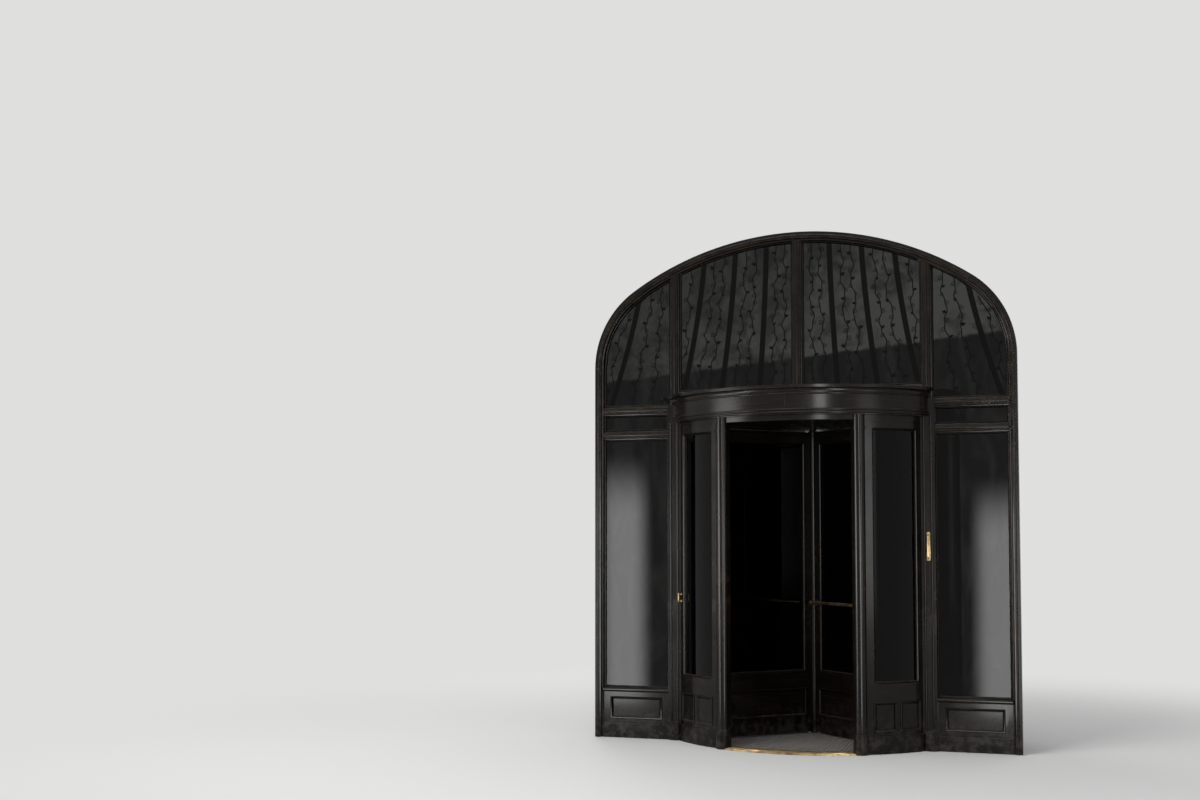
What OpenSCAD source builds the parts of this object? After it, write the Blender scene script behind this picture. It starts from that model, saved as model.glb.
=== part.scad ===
// Revolving door in an arched timber entrance screen.
// Origin: on the door's axis at floor level. +X right seen from the street,
// -Y towards the street, +Z up.

/* [Arched opening] */
// Width of the opening that the screen fills
opening_w = 3340; // [3200:10:3600]
// Height of the crown above the floor
crown_z = 4030; // [3950:10:4300]
// Rise of the arch from its springing to its crown
arch_rise = 1030; // [980:10:1100]
// Radius of the small arcs at the haunches
haunch_r = 750; // [600:10:850]

/* [Screen joinery] */
// Face width of the outer frame
frame_w = 66; // [50:2:90]
// Depth of the outer frame, front to back
frame_d = 120; // [90:2:160]
// Angle of the main posts round the drum, from the line across it
main_angle = 33.4; // [32:0.1:35]
// How far the middle of a main post stands outside the drum's inner face
post_set = 58; // [56:1:62]
// Width of a main post
post_w = 110; // [90:2:130]
// Depth of a main post
post_d = 120; // [100:2:150]
// Width of a fanlight mullion
mullion_w = 72; // [50:2:90]
// Depth of mullions and transoms
mullion_d = 84; // [60:2:110]
// How far the underside of the side transoms lies below the drum's ceiling
transom_drop = 85; // [60:5:120]
// Height of each of the two bars beside the frieze
bar_h = 66; // [50:2:90]
// Height of the frieze light between the two bars
frieze_h = 132; // [90:2:180]
// Thickness of the flat panes
pane_t = 8; // [6:1:12]
// Depth of the grooves that hold the panes
groove_d = 10; // [8:1:14]

/* [Fanlight ironwork] */
// Distance between the ribs at the arch
rib_pitch = 250; // [220:5:262]
// Width of a rib, seen from the street
rib_w = 26; // [16:1:32]
// Thickness of a rib, front to back
rib_d = 10; // [6:1:14]
// Space between the panes and the ribs
rib_gap = 14; // [8:1:18]
// Outward lean of the first rib at its foot, growing with the rib's number
rib_spread = 62; // [20:2:70]

/* [Lower panelling] */
// Height of the skirting
skirting_h = 112; // [80:2:160]
// How far the skirting stands forward
skirting_proj = 14; // [8:1:24]
// Height of the top of the moulded ledge over the panelling
ledge_z = 400; // [360:5:460]
// Thickness of the ledge
ledge_h = 32; // [24:2:48]
// Width of the stiles and rails round a lower panel
panel_stile = 62; // [50:2:80]

/* [Drum] */
// Inner radius of the drum
drum_r = 1140; // [1120:5:1160]
// Thickness of the drum's curved walls
wall_t = 50; // [40:2:60]
// Clear height inside the drum
drum_h = 2500; // [2450:10:2550]
// Half of the angle between the two posts of an opening
post_angle = 26.4; // [25:0.1:28]
// Width of a drum post
drum_post_w = 92; // [80:2:104]
// How far a drum post reaches out from the drum's inner face
post_reach = 90; // [84:2:110]
// Height of the plinth blocks and the drum's skirting
plinth_h = 130; // [100:2:160]
// Height of the top of the drum's lower panels
drum_panel_z = 380; // [340:5:420]
// Height of the bottom edge of the drum's glass
drum_glass_z = 520; // [480:5:560]
// Width of the stiles in a curved wall
drum_stile = 58; // [45:1:75]
// Width of the rail over the drum's glass
head_rail = 60; // [50:2:80]
// Number of glazed bays in the long curved wall on the lobby side
lobby_bays = 3; // [2:1:4]

/* [Cornice and roof] */
// Height of the head ring on the posts
head_h = 200; // [160:5:240]
// How far the cornice's underside lies above the drum's ceiling
cornice_rise = 40; // [30:5:80]
// Height of the cornice
cornice_h = 220; // [180:5:260]
// How far the fascia stands out from the wall
fascia_t = 48; // [40:2:60]
// How far the top moulding stands out from the fascia
top_proj = 34; // [20:2:44]
// Thickness of the ceiling and roof boards
board_t = 24; // [18:1:34]

/* [Turning wings] */
// Radius of the turning shaft
shaft_r = 46; // [42:1:52]
// Thickness of a wing
wing_t = 44; // [38:1:52]
// Width of a wing's stiles and top rail
wing_stile = 88; // [70:2:110]
// Height of the push bars
push_z = 1080; // [900:10:1200]
// Running clearance between the wing seals and the drum
run_gap = 7; // [5.5:0.5:9]
// Length of seal that shows outside the wing
seal_w = 10; // [8:1:16]
// Radius of the bearing journals
journal_r = 28; // [22:1:34]

/* [Floor] */
// Thickness of the floor pan and thresholds
floor_t = 12; // [10:1:20]
// Width of the metal margin round the mat
margin_w = 70; // [50:5:100]

/* [Hidden] */
// Gap between pieces that seat on each other
seat = 0.3;
// How far a pane stays short of the bottom of its groove
glass_play = 2;
// Outer frame: bead at a share of its face, front cove and rear cove
frame_bead_at = 0.45;
frame_bead_r = 8;
frame_cove_r = 18;
frame_rear_r = 12;
// Bars: front and rear coves
bar_cove_r = 12;
bar_rear_r = 9;
// Straight steps in a rib's bend, how the bend grows downwards, and the space
// kept between a rib's foot and the bar or jamb beside it
rib_steps = 12;
rib_bend = 1.5;
rib_clear = 6;
// Thickness of the lower panelling, width of its rails and nose of its ledge
dado_d = 60;
dado_rail = 45;
ledge_nose = 46;
// Width of a wing's stile at the shaft, and how far wing and seals stay in it
wing_inner = 56;
wing_root = 10;
seal_root = 20;
// Thickness of a wing's edge seals
seal_t = 12;
// How far the foot and the collar of a drum post stand out from it
post_foot = 8;
post_collar = 5;
// Distance of the collar below the ceiling, and its height
collar_drop = 70;
collar_h = 16;
// How much higher the plinth blocks are than the drum's skirting
plinth_over = 18;
// Depth of a sunk panel, height of its raised field and margin round the field
panel_sink = 14;
field_t = 8;
field_in = 20;
// Height of the rail under a sunk panel
panel_rail = 34;
// Radius of the round beads on the posts
bead_r = 9;
// How far plinth blocks stand forward, and how far they keep in from a side
plinth_proj = 12;
plinth_in = 20;
// Radial running clearance of a journal in its bearing
journal_fit = 0.05;
// Width of the stile between two sunk panels side by side
panel_mid = 40;
// Heights and radii of the cornice's beads: two low, one under the top moulding
low_bead = [14, 10];
second_bead = [36, 8];
top_bead_r = 8;
// Height and cove of the cornice's top moulding
top_mould_h = 48;
top_cove_r = 26;
// Angle at which the street cornice's arc ends and its straight return begins
return_angle = -38;
// Room round the mullions in the roof
roof_room = 10;
// Bearings: wall, flange and height of its flange, journal and air above it
bearing_wall = 26;
flange_w = 40;
flange_h = 12;
journal_h = 80;
bore_air = 10;
// Gap round the shaft in the ceiling
ceiling_gap = 6;
// Push bars: radius, stand-off from the wing, knobs, brackets and their roses
bar_r = 13;
bar_stand = 60;
bar_inset = 28;
knob_r = 17;
bracket_r = 9;
rose_r = 24;
rose_h = 6;
// Overshoot of cutting shapes past the face that they cut
cut = 5;
$fn = 64;

opening_x = opening_w / 2;
haunch_x = opening_x - haunch_r;
springing_z = crown_z - arch_rise;
// The crown's arc touches both small arcs and the crown
crown_r = (haunch_x * haunch_x + arch_rise * arch_rise - haunch_r * haunch_r)
  / (2 * (arch_rise - haunch_r));
crown_cz = crown_z - crown_r;
crown_half_angle = atan2(haunch_x, springing_z - crown_cz);

post_x = (drum_r + post_set) * cos(main_angle);
screen_y = (drum_r + post_set) * sin(main_angle);
transom_z = drum_h - transom_drop;
transom_top = transom_z + 2 * bar_h + frieze_h;
hold = groove_d - glass_play;
wall_r = drum_r + wall_t;
wall_end = 90 - post_angle;
wall_glass_top = drum_h - head_rail;
cornice_z = drum_h + cornice_rise;
roof_z = drum_h + head_h;
roof_top = roof_z + seat + board_t;
fascia_r = wall_r + fascia_t;
drum_post_out = drum_r + post_reach;
post_nose_x = drum_post_out - drum_post_w / 2;
wing_r = drum_r - run_gap - seal_w;
wing_z0 = floor_t + run_gap + seal_w;
wing_z1 = drum_h - run_gap - seal_w;
shaft_z0 = floor_t + run_gap;
socket_z = floor_t / 4;
shaft_z1 = drum_h - run_gap;
bearing_r = journal_r + bearing_wall;
bay_x0 = post_x + post_w / 2;
bay_x1 = opening_x - frame_w;
wing_angles = [45, 135, 225, 315];

timber = [0.10, 0.075, 0.055];
clear_glass = [0.55, 0.62, 0.62, 0.35];
brass_colour = [0.62, 0.48, 0.24];
iron_colour = [0.09, 0.09, 0.09];
mat_colour = [0.20, 0.18, 0.15];

// Lay a drawing of the facade upright: x to the right, y up, z to the street
module on_screen() {
  translate([0, -screen_y, 0]) rotate([90, 0, 0]) children();
}

// Sweep a profile (x = distance in from the opening's edge, y = depth to the
// street) along the opening, in five lengths: two jambs and three arcs
module sweep_arch() {
  joint = seat / haunch_r * 180 / PI;
  for (side = [0, 1]) mirror([side, 0, 0]) {
    translate([opening_x, springing_z - seat, 0]) rotate([90, 0, 0])
      linear_extrude(springing_z - seat) mirror([1, 0]) children();
    translate([haunch_x, springing_z, 0])
      rotate_extrude(angle = 90 - crown_half_angle - joint, $fn = 96)
        translate([haunch_r, 0]) mirror([1, 0]) children();
  }
  translate([0, crown_cz, 0]) rotate([0, 0, 90 - crown_half_angle])
    rotate_extrude(angle = 2 * crown_half_angle, $fn = 160)
      translate([crown_r, 0]) mirror([1, 0]) children();
}

// Points along the arch, set in by a distance, from left foot to right foot
function arc_points(cx, cz, r, a0, a1, n) =
  [for (i = [0 : n]) let (a = a0 + (a1 - a0) * i / n) [cx + r * cos(a), cz + r * sin(a)]];
function arch_points(inset, fine = 1) = concat(
  [[-opening_x + inset, 0]],
  arc_points(-haunch_x, springing_z, haunch_r - inset, 180, 90 + crown_half_angle, 8 * fine),
  arc_points(0, crown_cz, crown_r - inset, 90 + crown_half_angle, 90 - crown_half_angle, 24 * fine),
  arc_points(haunch_x, springing_z, haunch_r - inset, 90 - crown_half_angle, 0, 8 * fine),
  [[opening_x - inset, 0]]);

// Section of the outer frame: fillet, round bead and cove to the street, and
// a groove for the panes
module frame_section() {
  difference() {
    union() {
      translate([0, -frame_d / 2]) square([frame_w, frame_d]);
      translate([frame_w * frame_bead_at, frame_d / 2]) circle(r = frame_bead_r, $fn = 24);
    }
    translate([frame_w, frame_d / 2]) circle(r = frame_cove_r, $fn = 32);
    translate([frame_w, -frame_d / 2]) circle(r = frame_rear_r, $fn = 32);
    translate([frame_w - groove_d, -pane_t / 2 - seat]) square([groove_d + cut, pane_t + 2 * seat]);
  }
}

module arch_frame() {
  color(timber) on_screen() sweep_arch() frame_section();
}

// Section of a bar that holds panes on both sides: face width w, depth d
module bar_section(w, d) {
  difference() {
    union() {
      square([w, d], center = true);
      translate([0, d / 2]) circle(r = bead_r, $fn = 24);
    }
    for (s = [-1, 1]) {
      translate([s * w / 2, d / 2]) circle(r = bar_cove_r, $fn = 32);
      translate([s * w / 2, -d / 2]) circle(r = bar_rear_r, $fn = 32);
      translate([s * (w / 2 - groove_d / 2 + cut / 2), 0])
        square([groove_d + cut, pane_t + 2 * seat], center = true);
    }
  }
}

// A level bar from x0 to x1 with its middle at height z
module level_bar(x0, x1, z, w) {
  translate([x0, z, 0]) rotate([90, 0, 90])
    linear_extrude(x1 - x0) bar_section(w, mullion_d);
}

// An upright bar with its middle at x, up into the arch
module upright_bar(x, z0) {
  intersection() {
    translate([x, crown_z, 0]) rotate([90, 0, 0])
      linear_extrude(crown_z - z0) bar_section(mullion_w, mullion_d);
    translate([0, crown_cz, -frame_d])
      cylinder(r = crown_r - frame_w - seat, h = 2 * frame_d, $fn = 160);
  }
}

module fanlight_mullions() {
  color(timber) on_screen() {
    for (x = [-post_x, post_x]) upright_bar(x, transom_top + seat);
    upright_bar(0, roof_top + bar_h + 2 * seat);
  }
}

module transom_centre() {
  reach = post_x - mullion_w / 2 - seat;
  color(timber) on_screen()
    level_bar(-reach, reach, roof_top + seat + bar_h / 2, bar_h);
}

// Two bars beside the frieze light, from the main post to the jamb
module side_transom() {
  for (z = [transom_z + bar_h / 2, transom_top - bar_h / 2])
    level_bar(bay_x0 + seat, bay_x1 - seat, z, bar_h);
}
module side_transom_right() { color(timber) on_screen() side_transom(); }
module side_transom_left() { color(timber) on_screen() mirror([1, 0, 0]) side_transom(); }

// Panes of the fanlight, cut to the arch and held in the grooves
module fan_pane(x0, x1, z0) {
  intersection() {
    translate([0, 0, -pane_t / 2]) linear_extrude(pane_t)
      polygon(arch_points(frame_w - hold));
    translate([x0, z0, -cut]) cube([x1 - x0, crown_z, 2 * cut]);
  }
}
module fanlight_glass() {
  side_x0 = post_x + mullion_w / 2 - hold;
  mid_x0 = mullion_w / 2 - hold;
  mid_x1 = post_x - mullion_w / 2 + hold;
  color(clear_glass) on_screen() for (s = [0, 1]) mirror([s, 0, 0]) {
    fan_pane(side_x0, opening_x, transom_top + seat);
    fan_pane(mid_x0, mid_x1, roof_top + bar_h + 2 * seat);
  }
}

// Iron ribs behind the fanlight's panes: upright at the arch, and leaning
// outwards towards their feet, further the further they stand from the middle
function rib_room(i) = (i * rib_pitch < post_x ? post_x - mullion_w / 2 : bay_x1)
  - i * rib_pitch - rib_w / 2 - rib_clear;
function rib_flare(i) = min(rib_spread * i, rib_room(i));
function rib_side(i, z0, offset) = [for (k = [0 : rib_steps]) let (t = k / rib_steps)
  [i * rib_pitch + rib_flare(i) * pow(1 - t, rib_bend) + offset, z0 + (crown_z - z0) * t]];
module fanlight_rib(i, z0) {
  outer = rib_side(i, z0, rib_w / 2);
  inner = rib_side(i, z0, -rib_w / 2);
  intersection() {
    translate([0, 0, -pane_t / 2 - rib_gap - rib_d]) linear_extrude(rib_d)
      polygon(concat(outer, [for (k = [rib_steps : -1 : 0]) inner[k]]));
    translate([0, 0, -frame_d]) linear_extrude(2 * frame_d) polygon(arch_points(frame_w + seat, 3));
  }
}
module fanlight_ribs() {
  color(iron_colour) on_screen() for (s = [0, 1]) mirror([s, 0, 0]) {
    for (i = [1 : 3]) fanlight_rib(i, roof_top + bar_h + 2 * seat);
    fanlight_rib(5, transom_top + seat);
  }
}

// Tall pane and frieze pane of a side bay
module side_glass() {
  for (z = [[ledge_z + seat, transom_z + hold], [transom_z + bar_h - hold, transom_top - bar_h + hold]])
    translate([bay_x0 + seat, z[0], -pane_t / 2])
      cube([bay_x1 + hold - bay_x0 - seat, z[1] - z[0], pane_t]);
}
module side_glass_right() { color(clear_glass) on_screen() side_glass(); }
module side_glass_left() { color(clear_glass) on_screen() mirror([1, 0, 0]) side_glass(); }

// Lower panelling of a side bay: skirting, framed raised panel and ledge
module dado() {
  w = bay_x1 - bay_x0 - 2 * seat;
  panel_z0 = skirting_h + dado_rail;
  panel_w = w - 2 * panel_stile;
  panel_h = ledge_z - ledge_h - dado_rail - panel_z0;
  translate([bay_x0 + seat, 0, 0]) {
    difference() {
      translate([0, 0, -dado_d / 2]) cube([w, ledge_z - ledge_h, dado_d]);
      for (s = [0, 1]) mirror([0, 0, s])
        translate([panel_stile, panel_z0, dado_d / 2 - panel_sink]) difference() {
          cube([panel_w, panel_h, panel_sink + cut]);
          translate([field_in, field_in, -cut])
            cube([panel_w - 2 * field_in, panel_h - 2 * field_in, cut + field_t]);
        }
    }
    for (s = [0, 1]) mirror([0, 0, s])
      translate([0, 0, dado_d / 2]) cube([w, skirting_h, skirting_proj]);
    translate([0, ledge_z - ledge_h, 0]) rotate([90, 0, 90]) linear_extrude(w) ledge_section();
  }
}
// Section of the ledge: x up, y towards the street, rounded nose
module ledge_section() {
  translate([0, -ledge_nose]) square([ledge_h, 2 * ledge_nose]);
  for (s = [-1, 1]) translate([ledge_h / 2, s * ledge_nose]) circle(d = ledge_h, $fn = 32);
}
module dado_right() { color(timber) on_screen() dado(); }
module dado_left() { color(timber) on_screen() mirror([1, 0, 0]) dado(); }

// Main post where the drum meets the screen, hollowed to the drum's inner face
module main_post() {
  difference() {
    translate([post_x, -screen_y, 0]) {
      translate([-post_w / 2, -post_d / 2, 0]) cube([post_w, post_d, transom_top]);
      for (x = [-post_w / 4, post_w / 4]) translate([x, -post_d / 2, plinth_h])
        cylinder(r = bead_r, h = cornice_z - seat - plinth_h, $fn = 32);
      translate([-post_w / 2 + plinth_in, -post_d / 2 - plinth_proj, 0])
        cube([post_w - 2 * plinth_in, plinth_proj + cut, plinth_h + plinth_over]);
    }
    translate([0, 0, -cut]) cylinder(r = drum_r, h = drum_h + head_h, $fn = 160);
  }
}
module main_post_right() { color(timber) main_post(); }
module main_post_left() { color(timber) mirror([1, 0, 0]) main_post(); }

// Room that the main post takes out of the drum's rings
module post_notch(z0, z1) {
  for (s = [0, 1]) mirror([s, 0, 0])
    translate([post_x - post_w / 2 - seat, -screen_y - post_d / 2 - seat, z0])
      cube([post_w + 2 * seat, post_d + 2 * seat, z1 - z0]);
}

// Round-nosed post beside an opening, along +X and grown by a clearance
module post_solid(grow) {
  translate([drum_r - grow * cut, -drum_post_w / 2 - grow, -grow * cut])
    cube([post_nose_x - drum_r + grow * cut, drum_post_w + 2 * grow, cornice_z - seat + grow * 2 * cut]);
  translate([post_nose_x, 0, -grow * cut])
    cylinder(r = drum_post_w / 2 + grow, h = cornice_z - seat + grow * 2 * cut);
  translate([post_nose_x, 0, -grow * cut])
    cylinder(r = drum_post_w / 2 + post_foot + grow, h = plinth_h + plinth_over + grow * (cut + 1));
  translate([post_nose_x, 0, drum_h - collar_drop - grow])
    cylinder(r = drum_post_w / 2 + post_collar + grow, h = collar_h + 2 * grow);
}
module drum_post(angle) {
  difference() {
    rotate([0, 0, angle]) post_solid(0);
    translate([0, 0, drum_h]) cylinder(r = wall_r + seat, h = head_h, $fn = 160);
    translate([0, 0, -cut]) cylinder(r = drum_r, h = 2 * drum_h, $fn = 160);
  }
}
// Room for the posts on the right of both openings
module drum_post_room() {
  for (angle = [-90 + post_angle, 90 - post_angle]) rotate([0, 0, angle]) post_solid(seat);
}
module drum_post_street_right() { color(timber) drum_post(-90 + post_angle); }
module drum_post_street_left() { color(timber) drum_post(-90 - post_angle); }
module drum_post_lobby_right() { color(timber) drum_post(90 - post_angle); }
module drum_post_lobby_left() { color(timber) drum_post(90 + post_angle); }

// Part of a ring between two radii, two heights and two angles
module arc_block(r0, r1, z0, z1, a0, a1) {
  rotate([0, 0, a0]) rotate_extrude(angle = a1 - a0, $fn = 120)
    translate([r0, z0]) square([r1 - r0, z1 - z0]);
}
// Angles of the two ends of a curved wall, both inside the posts there
function wall_from(part) = part == "street" ? -wall_end : -main_angle;
function wall_to(part) = part == "street" ? -main_angle : wall_end;
function to_angle(length) = length / wall_r * 180 / PI;
// A span of angles divided into n equal parts with a space between them
function split_span(span, n, space) = let (w = (span[1] - span[0] - (n - 1) * space) / n)
  [for (i = [0 : n - 1]) [span[0] + i * (w + space), span[0] + i * (w + space) + w]];
// Start and end angles of each glazed bay of a curved wall
function wall_bays(part) =
  let (main_side = to_angle(post_w / 2 + drum_stile),
    door_side = to_angle(drum_post_w / 2 + drum_stile),
    a0 = wall_from(part) + (part == "street" ? door_side : main_side),
    a1 = wall_to(part) - (part == "street" ? main_side : door_side))
  split_span([a0, a1], part == "street" ? 1 : lobby_bays, to_angle(drum_stile));
// Start and end angles of each sunk panel: two side by side towards the street
function wall_panels(part) = [for (bay = wall_bays(part))
  each split_span(bay, part == "street" ? 2 : 1, to_angle(panel_mid))];

// Curved wall: skirting, sunk panels with raised fields, and glazed bays
module curved_wall(part) {
  mid_r = drum_r + wall_t / 2;
  slot = pane_t / 2 + seat;
  groove = to_angle(groove_d);
  difference() {
    union() {
      arc_block(drum_r, wall_r, 0, drum_h, wall_from(part), wall_to(part));
      arc_block(wall_r - 1, wall_r + plinth_proj, 0, plinth_h, wall_from(part), wall_to(part));
    }
    for (bay = wall_bays(part)) {
      arc_block(drum_r - cut, wall_r + cut, drum_glass_z, wall_glass_top, bay[0], bay[1]);
      arc_block(mid_r - slot, mid_r + slot, drum_glass_z - groove_d, wall_glass_top + groove_d,
        bay[0] - groove, bay[1] + groove);
    }
    for (panel = wall_panels(part)) difference() {
      arc_block(wall_r - panel_sink, wall_r + cut, plinth_h + panel_rail, drum_panel_z, panel[0], panel[1]);
      arc_block(wall_r - panel_sink - cut, wall_r - panel_sink + field_t, plinth_h + panel_rail + field_in,
        drum_panel_z - field_in, panel[0] + to_angle(field_in), panel[1] - to_angle(field_in));
    }
    post_notch(-cut, drum_h + cut);
    drum_post_room();
  }
}
module wall_street_right() { color(timber) curved_wall("street"); }
module wall_street_left() { color(timber) mirror([1, 0, 0]) curved_wall("street"); }
module wall_lobby_right() { color(timber) curved_wall("lobby"); }
module wall_lobby_left() { color(timber) mirror([1, 0, 0]) curved_wall("lobby"); }

// Bent panes of a curved wall, held in its grooves
module curved_panes(part) {
  mid_r = drum_r + wall_t / 2;
  for (bay = wall_bays(part))
    arc_block(mid_r - pane_t / 2, mid_r + pane_t / 2, drum_glass_z - hold, wall_glass_top + hold,
      bay[0] - to_angle(hold), bay[1] + to_angle(hold));
}
module wall_glass_street_right() { color(clear_glass) curved_panes("street"); }
module wall_glass_street_left() { color(clear_glass) mirror([1, 0, 0]) curved_panes("street"); }
module wall_glass_lobby_right() { color(clear_glass) curved_panes("lobby"); }
module wall_glass_lobby_left() { color(clear_glass) mirror([1, 0, 0]) curved_panes("lobby"); }

// Ring beam on the posts and walls
module head_ring() {
  color(timber) difference() {
    translate([0, 0, drum_h + seat]) cylinder(r = wall_r, h = head_h - seat, $fn = 160);
    translate([0, 0, drum_h - cut]) cylinder(r = drum_r, h = head_h + 2 * cut, $fn = 160);
    post_notch(drum_h - cut, roof_z + cut);
  }
}

// Cornice section: x out from the axis, y up
module cornice_section() {
  mould_z = cornice_h - top_mould_h;
  translate([wall_r + seat, 0]) square([fascia_t - seat, cornice_h]);
  translate([fascia_r, low_bead[0]]) circle(r = low_bead[1], $fn = 24);
  translate([fascia_r, second_bead[0]]) circle(r = second_bead[1], $fn = 24);
  difference() {
    translate([fascia_r - 1, mould_z]) square([top_proj + 1, top_mould_h]);
    translate([fascia_r + top_proj, mould_z]) circle(r = top_cove_r, $fn = 32);
  }
  translate([fascia_r, mould_z - 2 * top_bead_r]) circle(r = top_bead_r, $fn = 24);
}
module cornice_arc(a0, a1) {
  translate([0, 0, cornice_z]) rotate([0, 0, a0])
    rotate_extrude(angle = a1 - a0, $fn = 160) cornice_section();
}
// A short straight length of cornice that carries on from the arc
module cornice_return(angle, length) {
  translate([0, 0, cornice_z]) rotate([0, 0, angle]) translate([0, length + seat, 0])
    rotate([90, 0, 0]) linear_extrude(length) cornice_section();
}
// The street side's cornice is in two lengths that meet over the opening, and
// each ends in a straight return cut to the front of the main post
module cornice_street() {
  front = -screen_y - post_d / 2 - seat;
  color(timber) for (side = [0, 1]) mirror([side, 0, 0]) {
    cornice_arc(seat / wall_r * 180 / PI - 90, return_angle);
    difference() {
      cornice_return(return_angle, 2 * post_w);
      translate([0, front, cornice_z - cut]) cube([2 * drum_r, drum_r, cornice_h + 2 * cut]);
    }
  }
}
// The lobby side's cornice is in two lengths that meet over the opening
module cornice_lobby() {
  start = -asin((screen_y - post_d / 2 - seat) / (fascia_r + top_proj));
  color(timber) for (side = [0, 1]) mirror([side, 0, 0])
    cornice_arc(start, 90 - seat / wall_r * 180 / PI);
}

module drum_ceiling() {
  color(timber) translate([0, 0, drum_h]) difference() {
    cylinder(r = drum_r - seat, h = board_t, $fn = 160);
    translate([0, 0, -cut]) cylinder(r = shaft_r + ceiling_gap, h = board_t + 2 * cut);
  }
}

module drum_roof() {
  color(timber) difference() {
    translate([0, 0, roof_z + seat]) cylinder(r = wall_r, h = board_t, $fn = 160);
    for (x = [-post_x, post_x])
      translate([x - mullion_w / 2 - seat, -screen_y - mullion_d / 2 - roof_room, roof_z - cut])
        cube([mullion_w + 2 * seat, mullion_d + 2 * roof_room, board_t + 3 * cut]);
  }
}

// Bearing housing between the ceiling and the roof, with its bore below
module top_bearing() {
  color(iron_colour) difference() {
    union() {
      translate([0, 0, drum_h + board_t + seat]) cylinder(r = bearing_r, h = head_h - board_t - seat);
      translate([0, 0, drum_h + board_t + seat]) cylinder(r = bearing_r + flange_w, h = flange_h);
    }
    translate([0, 0, drum_h]) cylinder(r = journal_r + journal_fit, h = journal_h + bore_air);
  }
}

// Shallow pan with a raised margin, and the socket of the foot bearing
module floor_pan() {
  color(brass_colour) difference() {
    cylinder(r = drum_r - seat, h = floor_t, $fn = 160);
    difference() {
      translate([0, 0, floor_t / 2]) cylinder(r = drum_r - margin_w, h = floor_t, $fn = 160);
      cylinder(r = bearing_r, h = floor_t);
    }
    translate([0, 0, socket_z]) cylinder(r = journal_r + journal_fit, h = floor_t);
  }
}
module floor_mat() {
  color(mat_colour) difference() {
    translate([0, 0, floor_t / 2 + seat])
      cylinder(r = drum_r - margin_w - seat, h = floor_t / 2 - seat, $fn = 160);
    cylinder(r = bearing_r + seat, h = 2 * floor_t);
  }
}

// Metal threshold between the posts of an opening
module threshold() {
  reach = post_angle - asin((drum_post_w / 2 + post_foot + seat) / post_nose_x);
  arc_block(drum_r, drum_post_out, 0, floor_t, -90 - reach, -90 + reach);
}
module threshold_street() { color(brass_colour) threshold(); }
module threshold_lobby() { color(brass_colour) rotate([0, 0, 180]) threshold(); }

// Turning shaft with its journals
module shaft() {
  color(timber) {
    translate([0, 0, shaft_z0]) cylinder(r = shaft_r, h = shaft_z1 - shaft_z0);
    translate([0, 0, socket_z + seat]) cylinder(r = journal_r, h = shaft_z0 - socket_z);
    translate([0, 0, shaft_z1 - cut]) cylinder(r = journal_r, h = journal_h);
  }
}

// Space of a wing's light between its stiles and rails, grown by a margin
module wing_light(t, grow) {
  translate([shaft_r + wing_inner - grow, -t / 2, drum_glass_z - grow])
    cube([wing_r - wing_stile - shaft_r - wing_inner + 2 * grow, t,
      wing_z1 - wing_stile - drum_glass_z + 2 * grow]);
}
// One wing, drawn with x out from the shaft, y across and z up
module wing_frame() {
  x0 = shaft_r - wing_root;
  panel_w = wing_r - wing_stile - shaft_r - wing_inner;
  panel_h = drum_panel_z - plinth_h - panel_rail;
  difference() {
    union() {
      translate([x0, -wing_t / 2, wing_z0]) cube([wing_r - x0, wing_t, wing_z1 - wing_z0]);
      translate([wing_r - 1, -seal_t / 2, wing_z0]) cube([seal_w + 1, seal_t, wing_z1 - wing_z0]);
      for (z = [wing_z0 - seal_w, wing_z1 - 1])
        translate([shaft_r + seal_root, -seal_t / 2, z])
          cube([wing_r - shaft_r - seal_root, seal_t, seal_w + 1]);
    }
    translate([0, 0, wing_z0 - 2 * seal_w])
      cylinder(r = shaft_r + seat, h = wing_z1 - wing_z0 + 4 * seal_w);
    wing_light(2 * wing_t, 0);
    wing_light(pane_t + 2 * seat, groove_d);
    for (s = [0, 1]) mirror([0, s, 0])
      translate([shaft_r + wing_inner, wing_t / 2 - panel_sink, plinth_h + panel_rail]) difference() {
        cube([panel_w, panel_sink + cut, panel_h]);
        translate([field_in, -cut, field_in])
          cube([panel_w - 2 * field_in, cut + field_t, panel_h - 2 * field_in]);
      }
  }
}
module wing_pane() { wing_light(pane_t, hold); }
module wing_1() { color(timber) rotate([0, 0, wing_angles[0]]) wing_frame(); }
module wing_2() { color(timber) rotate([0, 0, wing_angles[1]]) wing_frame(); }
module wing_3() { color(timber) rotate([0, 0, wing_angles[2]]) wing_frame(); }
module wing_4() { color(timber) rotate([0, 0, wing_angles[3]]) wing_frame(); }
module wing_glass_1() { color(clear_glass) rotate([0, 0, wing_angles[0]]) wing_pane(); }
module wing_glass_2() { color(clear_glass) rotate([0, 0, wing_angles[1]]) wing_pane(); }
module wing_glass_3() { color(clear_glass) rotate([0, 0, wing_angles[2]]) wing_pane(); }
module wing_glass_4() { color(clear_glass) rotate([0, 0, wing_angles[3]]) wing_pane(); }

// One push bar on two brackets across a wing
module push_bar() {
  x0 = shaft_r + bar_inset;
  x1 = wing_r - wing_stile / 2;
  y = -wing_t / 2 - bar_stand;
  translate([x0, y, push_z]) rotate([0, 90, 0]) cylinder(r = bar_r, h = x1 - x0);
  for (x = [x0, x1]) {
    translate([x, y, push_z]) sphere(r = knob_r, $fn = 48);
    translate([x, y, push_z]) rotate([-90, 0, 0]) cylinder(r = bracket_r, h = bar_stand - seat);
    translate([x, -wing_t / 2 - seat - rose_h, push_z]) rotate([-90, 0, 0])
      cylinder(r = rose_r, h = rose_h);
  }
}
module push_bars() {
  color(brass_colour) for (a = wing_angles) rotate([0, 0, a]) push_bar();
}

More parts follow.
